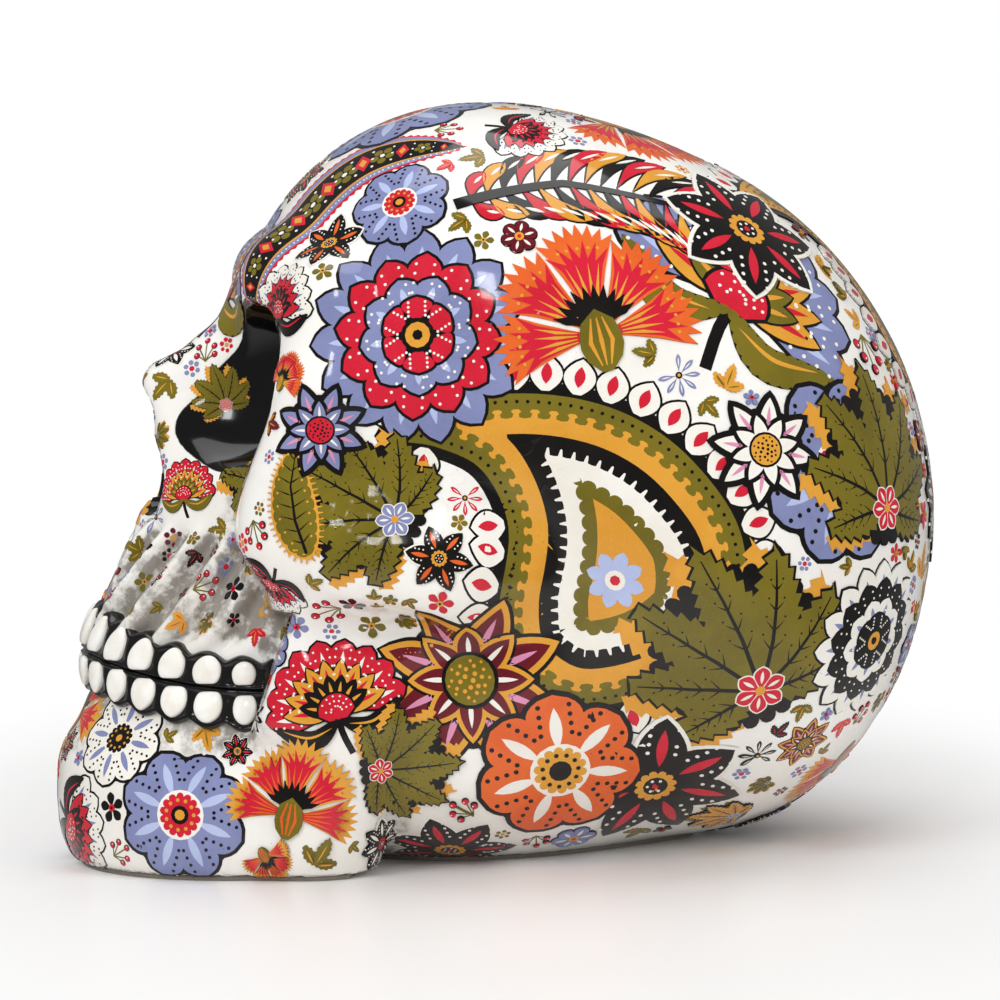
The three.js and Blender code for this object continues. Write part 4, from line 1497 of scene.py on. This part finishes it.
def layDown(sheet, where, spin=0.0):
    start, right, up = startAt(where)
    coarse = printForm["pitches"][0]
    turned = [loop * turn(spin) for _, loop, _ in sheet.shapes]
    parts = [filled(loop, coarse) for loop in turned]
    spans = np.cumsum([0] + [len(corners) for corners, _ in parts])
    points = walked(np.concatenate([corners for corners, _ in parts] or [np.zeros(1, complex)]), start, right, up)
    bent = bentAt(points)
    chunks = []
    for k, loop in enumerate(turned):
        chunk = points[spans[k]:spans[k + 1]]
        most = np.percentile(bent[spans[k]:spans[k + 1]], 85)
        wanted = math.sqrt(8 * printForm["step"] * printForm["sag"] / max(most, 1e-3))
        pitch = next((p for p in printForm["pitches"] if p <= wanted), printForm["pitches"][-1])
        if pitch < coarse:
            parts[k] = filled(loop, pitch)
            chunk = walked(parts[k][0], start, right, up)
        chunks.append(chunk)
    for level in sorted({shape[2] for shape in sheet.shapes}):
        raised = {}
        for (ink, _, own), (corners, faces), chunk in zip(sheet.shapes, parts, chunks):
            if own == level and len(faces):
                cells = cellsOf(chunk, faces)
                height = max(topLevels.get(cell, -1) for cell in cells) + 1
                raised.update((cell, max(height, raised.get(cell, 0))) for cell in cells)
                layer = layers[ink]
                layer.points.append(chunk)
                layer.levels.append(np.full(len(chunk), height))
                layer.faces.append(faces + layer.count)
                layer.count += len(chunk)
        topLevels.update(raised)
    printedSpots.extend(chunks)
    laid = np.concatenate(chunks) if chunks else np.empty((0, 3))
    if sheet.dots:
        spots = walked(np.array([at * turn(spin) for _, at, _, _ in sheet.dots]), start, right, up)
        for (ink, _, radius, _), point in zip(sheet.dots, spots):
            cell = tuple((point / printForm["cell"]).round().astype(int))
            layers[ink].dots.append(point)
            layers[ink].dotLevels.append(topLevels.get(cell, -1) + 1)
            layers[ink].dotSizes.append(radius)
    return laid


def solidPrint(name, ink, points, outwards, levels, faces):
    # closed thin solids: a top over the skin, a bottom just under it, and walls between
    lift = (printForm["lift"] + printForm["step"] * levels)[:, None]
    count = len(points)
    edges = np.concatenate((faces[:, (0, 1)], faces[:, (1, 2)], faces[:, (2, 0)]))
    keys = edges[:, 0] * count + edges[:, 1]
    back = edges[:, 1] * count + edges[:, 0]
    rim = edges[~np.isin(keys, back)]
    a, b = rim[:, 0], rim[:, 1]
    walls = np.concatenate((np.stack((b, a, a + count), axis=1), np.stack((b, a + count, b + count), axis=1)))
    everything = np.concatenate((faces, faces[:, ::-1] + count, walls))
    corners = np.concatenate((points + outwards * lift, points - outwards * printForm["sink"]))
    piece = ready(name, corners, everything, inkFinishes[ink], np.concatenate((outwards, outwards)))
    return dress(piece)


def stippleTree():
    # a small closed disc on every point, turned to the skin
    bench, given = startTree("stipple_dots", {"Geometry": "Geometry", "Thickness": "Float", "Finish": "Material"})
    spots = bench.node("GeometryNodeMeshToPoints", None, {"Mesh": given})
    sizes = {"Vertices": printForm["dotSides"], "Radius": 1.0, "Depth": 1.0}
    drop = bench.node("GeometryNodeMeshCylinder", None, sizes)
    out = bench.node("GeometryNodeInputNamedAttribute", {"data_type": "FLOAT_VECTOR"}, {"Name": "outwards"})
    size = bench.node("GeometryNodeInputNamedAttribute", {"data_type": "FLOAT"}, {"Name": "size"})
    turned = bench.node("FunctionNodeAlignRotationToVector", {"axis": "Z"}, {"Vector": out})
    grown = bench.node("ShaderNodeCombineXYZ", None, {"X": size, "Y": size, "Z": given.other("Thickness")})
    placed = bench.node("GeometryNodeInstanceOnPoints", None,
                        {"Points": spots, "Instance": drop, "Rotation": turned, "Scale": grown})
    return endTree(bench, placed, given.other("Finish"))


def makePrint():
    tree = stippleTree()
    for ink, layer in layers.items():
        if layer.count:
            points, levels, faces = (np.concatenate(part) for part in (layer.points, layer.levels, layer.faces))
            points, outwards = settled(points, 1)
            pieces = int(math.ceil(len(faces) * 2.9 / printForm["mostFaces"]))
            group = np.minimum(faces[:, 0] * pieces // len(points), pieces - 1)
            for k in range(pieces):
                chosen = faces[group == k]
                used, renumbered = np.unique(chosen, return_inverse=True)
                name = "print_{}{}".format(ink, "" if pieces == 1 else "_" + str(k + 1))
                solidPrint(name, ink, points[used], outwards[used], levels[used], renumbered.reshape(-1, 3))
        if layer.dots:
            points, outwards = settled(np.array(layer.dots), 2)
            thick = printForm["dotThickness"]
            top = printForm["lift"] + printForm["step"] * (np.array(layer.dotLevels)[:, None] + 0.5)
            spots = bpy.data.meshes.new("stipple_spots_" + ink)
            spots.from_pydata(((points + outwards * (top - thick / 2)) / 1000).tolist(), [], [])
            ways = spots.attributes.new("outwards", "FLOAT_VECTOR", "POINT")
            ways.data.foreach_set("vector", outwards.astype(np.float32).ravel())
            sizes = spots.attributes.new("size", "FLOAT", "POINT")
            sizes.data.foreach_set("value", np.array(layer.dotSizes, np.float32) / 1000)
            mesh = grown("stipple_" + ink, tree, {"Thickness": thick / 1000, "Finish": inkFinishes[ink]}, spots)
            dress(linked("stipple_" + ink, mesh))
        print("ink", ink, "faces", layer.count, "dots", len(layer.dots))


# Small motifs for the gaps
def seedFlower(r, ink="blue", heart="yellow"):
    sheet = Sheet()
    petalRing(sheet, (None, ink, None), 5, r, r * 0.62, 0)
    sheet.add(heart, disc(0j, r * 0.25, 10), 2)
    sheet.dot("black", 0j, r * 0.1, 3)
    return sheet


def trefoil(r, ink="olive", vein="yellow"):
    sheet = Sheet()
    root = -0.5j * r
    for spin, reach in ((0, 1.45), (58, 1.05), (-58, 1.05)):
        way = turn(90 + spin) * r * reach
        sheet.add(ink, edged(blade((root, root + way * 0.5, root + way), r * 0.52), r * 0.24, r * 0.07, "saw"), 0)
        sheet.add(vein, blade((root + way * 0.12, root + way * 0.78), r * 0.07, "leaf", 5), 1)
    return sheet


def berries(r, ink="red", stem="olive"):
    sheet = Sheet()
    for spin, reach in ((0, 1.45), (34, 1.2), (-36, 1.15), (68, 0.8), (-70, 0.8)):
        tip = -0.7j * r + turn(90 + spin) * r * reach
        sheet.add(stem, blade((-0.9j * r, tip * 0.5 - 0.4j * r, tip), r * 0.09, "even", 5), 0)
        sheet.discs(tip, ("black", r * 0.25, 11, 1), (ink, r * 0.2, 10, 2))
        sheet.dot("white", tip + (-0.06 + 0.07j) * r, r * 0.05, 3)
    return sheet


def dotRing(r, ink="blue", heart="red"):
    sheet = Sheet()
    sheet.dotsRound(ink, 6, r * 0.68, r * 0.27, 0)
    sheet.dot(heart, 0j, r * 0.3, 0)
    return sheet


# Where each large motif lies: drawing, place and spin
nearSide = (
    (boteh(62, "olive", "yellow"), ("pixel", 590, 545), 24),
    (sunFan(29), ("pixel", 735, 300), -42),
    (dahlia(22), ("pixel", 418, 335), 0),
    (wheelBloom(19), ("pixel", 842, 470), 0),
    (plume(66), ("pixel", 455, 205), 2),
    (leafSpray(34), ("pixel", 760, 690), 30),
    (carnation(21, "orange", "red", "yellow"), ("pixel", 600, 335), 10),
    (nightBloom(19), ("pixel", 655, 785), 0),
    (lotus(20), ("pixel", 470, 680), 0),
    (dahlia(17, "white", "black"), ("pixel", 872, 640), 0),
    (wheelBloom(17, 7, "orange", "yellow", "black"), ("pixel", 560, 770), 8),
    (leafSpray(24, "olive", "yellow", "black", "blue"), ("pixel", 395, 520), 64),
    (lotus(12, 8, "white", "black", "yellow"), ("pixel", 765, 450), 10),
    (sunFan(15, "red", "yellow", "black"), ("pixel", 337, 712), 14),
    (nightBloom(14), ("pixel", 450, 850), 10),
    (wheelBloom(14, 8), ("pixel", 180, 815), 0),
    (carnation(14, "yellow", "red", "orange"), ("pixel", 290, 815), -12),
    (leafSpray(17), ("pixel", 380, 770), -80),
    (garland((-30 - 5j, -12 + 3j, 10 + 5j, 30 - 6j), 13), ("pixel", 330, 205), 58),
    (fern(24, "olive", "yellow"), ("pixel", 310, 560), 98),
    (leafSpray(9, "olive", "yellow", "black", "red"), ("pixel", 226, 405), 20),
    (lotus(10, 8, "blue", "black", "red"), ("pixel", 320, 430), 0),
)
farSide = (
    (sunFan(27, "yellow", "red", "olive"), ("farSide", 450, 300), 10),
    (boteh(60), ("farSide", 660, 390), 160),
    (plume(56, ("blue", "red", "black")), ("farSide", 400, 580), -160),
    (carnation(20), ("farSide", 800, 320), 30),
    (dahlia(21), ("farSide", 700, 680), 0),
    (wheelBloom(18, 7), ("farSide", 850, 520), 0),
    (nightBloom(19), ("farSide", 560, 740), 0),
    (leafSpray(34), ("farSide", 500, 520), -90),
    (lotus(15), ("farSide", 300, 770), 0),
    (carnation(16, "red", "orange", "yellow"), ("farSide", 160, 800), -10),
    (wheelBloom(14), ("farSide", 390, 700), 0),
    (dahlia(14, "yellow", "red"), ("farSide", 310, 230), 0),
    (garland((-34 - 5j, -12 + 5j, 12 + 5j, 34 - 7j), 15), ("farSide", 600, 190), 12),
    (fern(34), ("farSide", 850, 740), 60),
    (leafSpray(12, "olive", "yellow", "black", "orange"), ("farSide", 246, 330), -100),
)
middle = (
    (sunFan(21), ("facing", 0, 46), 0),
    (wheelBloom(19), ("facing", 10, 84), 0),
    (carnation(19), ("facing", 170, 66), 180),
    (boteh(56), ("facing", 180, 28), 10),
    (dahlia(19, "red", "yellow"), ("facing", 184, -14), 0),
    (nightBloom(18), ("facing", 150, 40), 0),
    (lotus(18), ("facing", 218, 42), 0),
    (wheelBloom(16, 7, "orange", "yellow", "black"), ("facing", 208, 5), 0),
    (leafSpray(30), ("facing", 152, 0), 0),
    (carnation(15, "yellow", "red", "orange"), ("facing", 0, -27), 0),
)
for sheet, where, spin in nearSide + farSide + middle:
    layDown(sheet, where, spin)
print("large motifs laid:", len(nearSide) + len(farSide) + len(middle))

# Filling the gaps between the large motifs, the widest gap first
gapForm = {
    "mouthRim": (1.5, 1.0),  # kept clear below and above the gums
    "mouthBack": 2.0,
    "mouthHalf": 36.0,
    "shrinkFrom": 1.5,
    "taken": 0.9,  # share of a motif's radius that counts as printed
    "beyond": 1.2,
    "every": 3,  # how many corners of the skin there are to one that is tried
    "keepOff": 0.95,
    "crowd": 1.18,  # large motifs run a little under or over their neighbours
    "crowdFrom": 5.0,
    "least": 1.6,
    "most": 14.0,
    "sizes": (5.5, 3.4, 2.4, 0),  # from which radius on the motifs of a size are used
    "bend": 0.8,
    "nearBend": 2.3,
    "acrossBend": 3.6,  # a motif times the tightest curve that it lies over, at most
    "shrink": 0.8,
    "seed": 11,
    "lowest": 4.5,
    "hollowRim": 1.13,
    "overRibs": 5.0,
    "ribsBack": -50.0,
}
gapInks = ("blue", "olive", "black", "blue", "red", "orange", "olive", "black", "yellow", "maroon", "red", "black")
gapHearts = {
    "blue": "red", "olive": "yellow", "yellow": "red", "red": "yellow", "orange": "black", "maroon": "yellow",
    "black": "red",
}


def gapMotif(r, chance):
    ink = gapInks[chance.randrange(len(gapInks))]
    heart = gapHearts[ink]
    bloom = "blue" if ink in ("olive", "black") else ink
    leaf = ("olive", "yellow", "black")
    large = (
        (leafSpray, *leaf, bloom), (wheelBloom, 7, bloom, gapHearts[bloom]), (carnation,), (lotus,), (dahlia,),
        (sunFan, bloom, heart), (nightBloom,), (sunFan, "white", "red", "black"),
        (wheelBloom, 8, "white", "black", "yellow"), (dahlia, "white", "black"), (nightBloom, 8, "white", "red"),
        (leafSpray, "yellow", "olive", "black", "blue"), (nightBloom, 6, "orange"),
        (carnation, "yellow", "red", "orange"), (lotus, 8, "blue", "black", "red"))
    medium = (
        (leafSpray, *leaf, ink), (berries,), (daisy, 6, bloom, heart), (trefoil,), (dropSpray, 7, ink, "white", 300),
        (trefoil, "yellow", "olive"), (nightBloom,))
    small = ((trefoil,), (seedFlower, ink, heart), (trefoil, ink, heart), (berries,))
    least = ((dotRing, ink, heart), (trefoil,), (dotRing,), (seedFlower, ink, heart))
    sizes = zip(gapForm["sizes"], (large, medium, small, least))
    choices = next(kinds for low, kinds in sizes if r > low)
    form, *inksUsed = choices[chance.randrange(len(choices))]
    return form(r, *inksUsed)


def openSpots():
    # corners of the skin that small motifs may stand on
    corners = skullSkin.data.vertices
    points = np.empty(len(corners) * 3, np.float32)
    corners.foreach_get("co", points)
    points = points.reshape(-1, 3)[::gapForm["every"]].astype(float) * 1000
    mirrored = np.abs(points) * (1, 0, 0) + points * (0, 1, 1)
    open_ = points[:, 2] > gapForm["lowest"]
    for at, reach, _ in (skull["eye"], skull["nostril"], skull["noseTop"]):
        open_ &= np.linalg.norm((mirrored - place(at)) / reach, axis=1) > gapForm["hollowRim"]
    angle = np.arctan2(mirrored[:, 0] / mouth["halfWidth"], (mouth["centre"] - points[:, 1]) / mouth["reach"])
    bite = biteAt(np.clip(angle, 0, math.pi / 2))
    below, above = gapForm["mouthRim"]
    inMouth = (points[:, 2] > bite - mouth["lowerGum"] - below) & (points[:, 2] < bite + mouth["upperGum"] + above)
    inMouth &= points[:, 1] < skull["mouthRecess"]["stepAlong"] + gapForm["mouthBack"]
    open_ &= ~(inMouth & (mirrored[:, 0] < gapForm["mouthHalf"]))
    return points[open_]


def fillGaps():
    chance = random.Random(gapForm["seed"])
    spots = openSpots()
    printed = np.concatenate(printedSpots)
    tree = kdtree.KDTree(len(printed))
    for k, point in enumerate(printed):
        tree.insert(point, k)
    tree.balance()
    free = np.array([tree.find(point)[2] for point in spots])
    widest = np.minimum(gapForm["most"], gapForm["bend"] / np.maximum(bentAt(spots), 1e-3))
    widest = np.minimum(widest, gapForm["nearBend"] / tightestNear(spots))
    overTeeth = (spots[:, 2] < skull["ribs"]["to"]) & (spots[:, 2] > skull["ribs"]["from"])
    overTeeth &= spots[:, 1] < gapForm["ribsBack"]
    widest = np.where(overTeeth, np.minimum(widest, gapForm["overRibs"]), widest)
    bends = bentAt(spots)
    count = 0
    while True:
        crowd = np.where(free > gapForm["crowdFrom"], gapForm["crowd"], gapForm["keepOff"])
        room = np.minimum(free * crowd, widest)
        best = int(room.argmax())
        if room[best] < gapForm["least"]:
            return count
        r = float(room[best])
        reach = np.linalg.norm(spots - spots[best], axis=1)
        if r > gapForm["least"] * gapForm["shrinkFrom"] and r * bends[reach < r].max() > gapForm["acrossBend"]:
            widest[best] = r * gapForm["shrink"]
            continue
        sheet = gapMotif(r, chance)
        laid = layDown(sheet, ("at", spots[best], None), chance.uniform(0, 360))
        near = np.flatnonzero(reach < r + gapForm["most"] * gapForm["beyond"])
        inside = r * gapForm["taken"]
        rim = np.abs(reach[near] - inside)
        if len(laid):
            rim = np.minimum(rim, np.linalg.norm(spots[near][:, None] - laid[None, :], axis=2).min(axis=1))
        free[near] = np.minimum(free[near], np.where(reach[near] < inside, 0, rim))
        count += 1


print("small motifs laid:", fillGaps())
makePrint()
print("print laid")

# Floor, backdrop and lights
studio = {
    "floor": paint("#f7f6f5"),
    "halfFloor": 6.0,
    "nearFade": 0.085,
    "farFade": 0.26,
    "fadeStretch": (0.72, 1.5, 1.0),  # sooner to the sides of the view than towards it
    "worldStrength": 0.5,
    "inGloss": 0.22,  # the white as glossy rays see it, dimmer, so that black ink stays black
    "lampsFace": (0.0, 0.0, 0.07),
    "lamps": {  # place, size and power, in metres and watts, and whether it shows in gloss
        "tall_softbox": ((0.75, -0.75, 0.95), (0.6, 0.8), 6.5, False),
        "top_softbox": ((-0.1, 0.1, 1.3), (0.9, 0.9), 6.0, True),
        "rear_fill": ((0.9, 0.8, 0.5), (0.6, 0.9), 3.0, False),
        "glint_strip": ((0.95, -0.2, 0.8), (0.1, 0.24), 1.3, True),
    },
}


def plainWhite(bench, kind):
    # the rays that see the white of floor and backdrop, and that white
    ray = bench.node("ShaderNodeLightPath", out="Is Camera Ray")
    glossy = ray.other("Is Glossy Ray")
    seen = bench.calc("MAXIMUM", bench.calc("MAXIMUM", ray, glossy), ray.other("Is Transmission Ray"))
    full = bench.node(kind, None, {"Color": (1, 1, 1, 1), "Strength": 1.0})
    dim = bench.node(kind, None, {"Color": (1, 1, 1, 1), "Strength": studio["inGloss"]})
    return seen, bench.node("ShaderNodeMixShader", None, {0: glossy, 1: full, 2: dim})


def makeFloor():
    mesh = bpy.data.meshes.new("floor")
    size = studio["halfFloor"]
    mesh.from_pydata([(-size, -size, 0), (size, -size, 0), (size, size, 0), (-size, size, 0)], [], [(0, 1, 2, 3)])
    material = bpy.data.materials.new("white_sweep")
    bench = emptied(material)
    where = bench.node("ShaderNodeTexCoord", out="Object")
    stretched = bench.node("ShaderNodeVectorMath", {"operation": "MULTIPLY"}, {0: where, 1: studio["fadeStretch"]})
    away = bench.node("ShaderNodeVectorMath", {"operation": "LENGTH"}, {0: stretched}, out="Value")
    seen, white = plainWhite(bench, "ShaderNodeEmission")
    grain = bench.noise(where, 30.0, 2.0)
    matt = bench.node("ShaderNodeBsdfPrincipled", None, {
        "Base Color": bench.mix(grain * 0.3, studio["floor"], paint("#efeeec")),
        "Roughness": 0.35 + grain * 0.1,
        "Specular IOR Level": 0.3,
    })
    share = bench.ease(away, studio["nearFade"], studio["farFade"]) * seen
    mixed = bench.node("ShaderNodeMixShader", None, {0: share, 1: matt, 2: white})
    bench.node("ShaderNodeOutputMaterial", None, {"Surface": mixed})
    mesh.materials.append(material)
    floor = linked("floor", mesh)


def makeWorld():
    world = bpy.data.worlds.new("studio")
    scene.world = world
    bench = emptied(world)
    seen, white = plainWhite(bench, "ShaderNodeBackground")
    soft = bench.node("ShaderNodeBackground", None, {"Color": (1, 1, 1, 1), "Strength": studio["worldStrength"]})
    mixed = bench.node("ShaderNodeMixShader", None, {0: seen, 1: soft, 2: white})
    bench.node("ShaderNodeOutputWorld", None, {"Surface": mixed})


def makeLamps():
    for name, (at, size, power, glossy) in studio["lamps"].items():
        lamp = bpy.data.lights.new(name, "AREA")
        lamp.shape = "RECTANGLE"
        lamp.size, lamp.size_y = size
        lamp.energy = power
        holder = linked(name, lamp)
        holder.visible_glossy = glossy
        back = unit(np.array(at) - studio["lampsFace"])
        across = unit(np.cross((0, 0, 1), back))
        holder.matrix_world = seated(at, (across, np.cross(back, across), back))


makeFloor()
makeWorld()
makeLamps()
scene.view_settings.view_transform = "Standard"
print("stage and lights made")
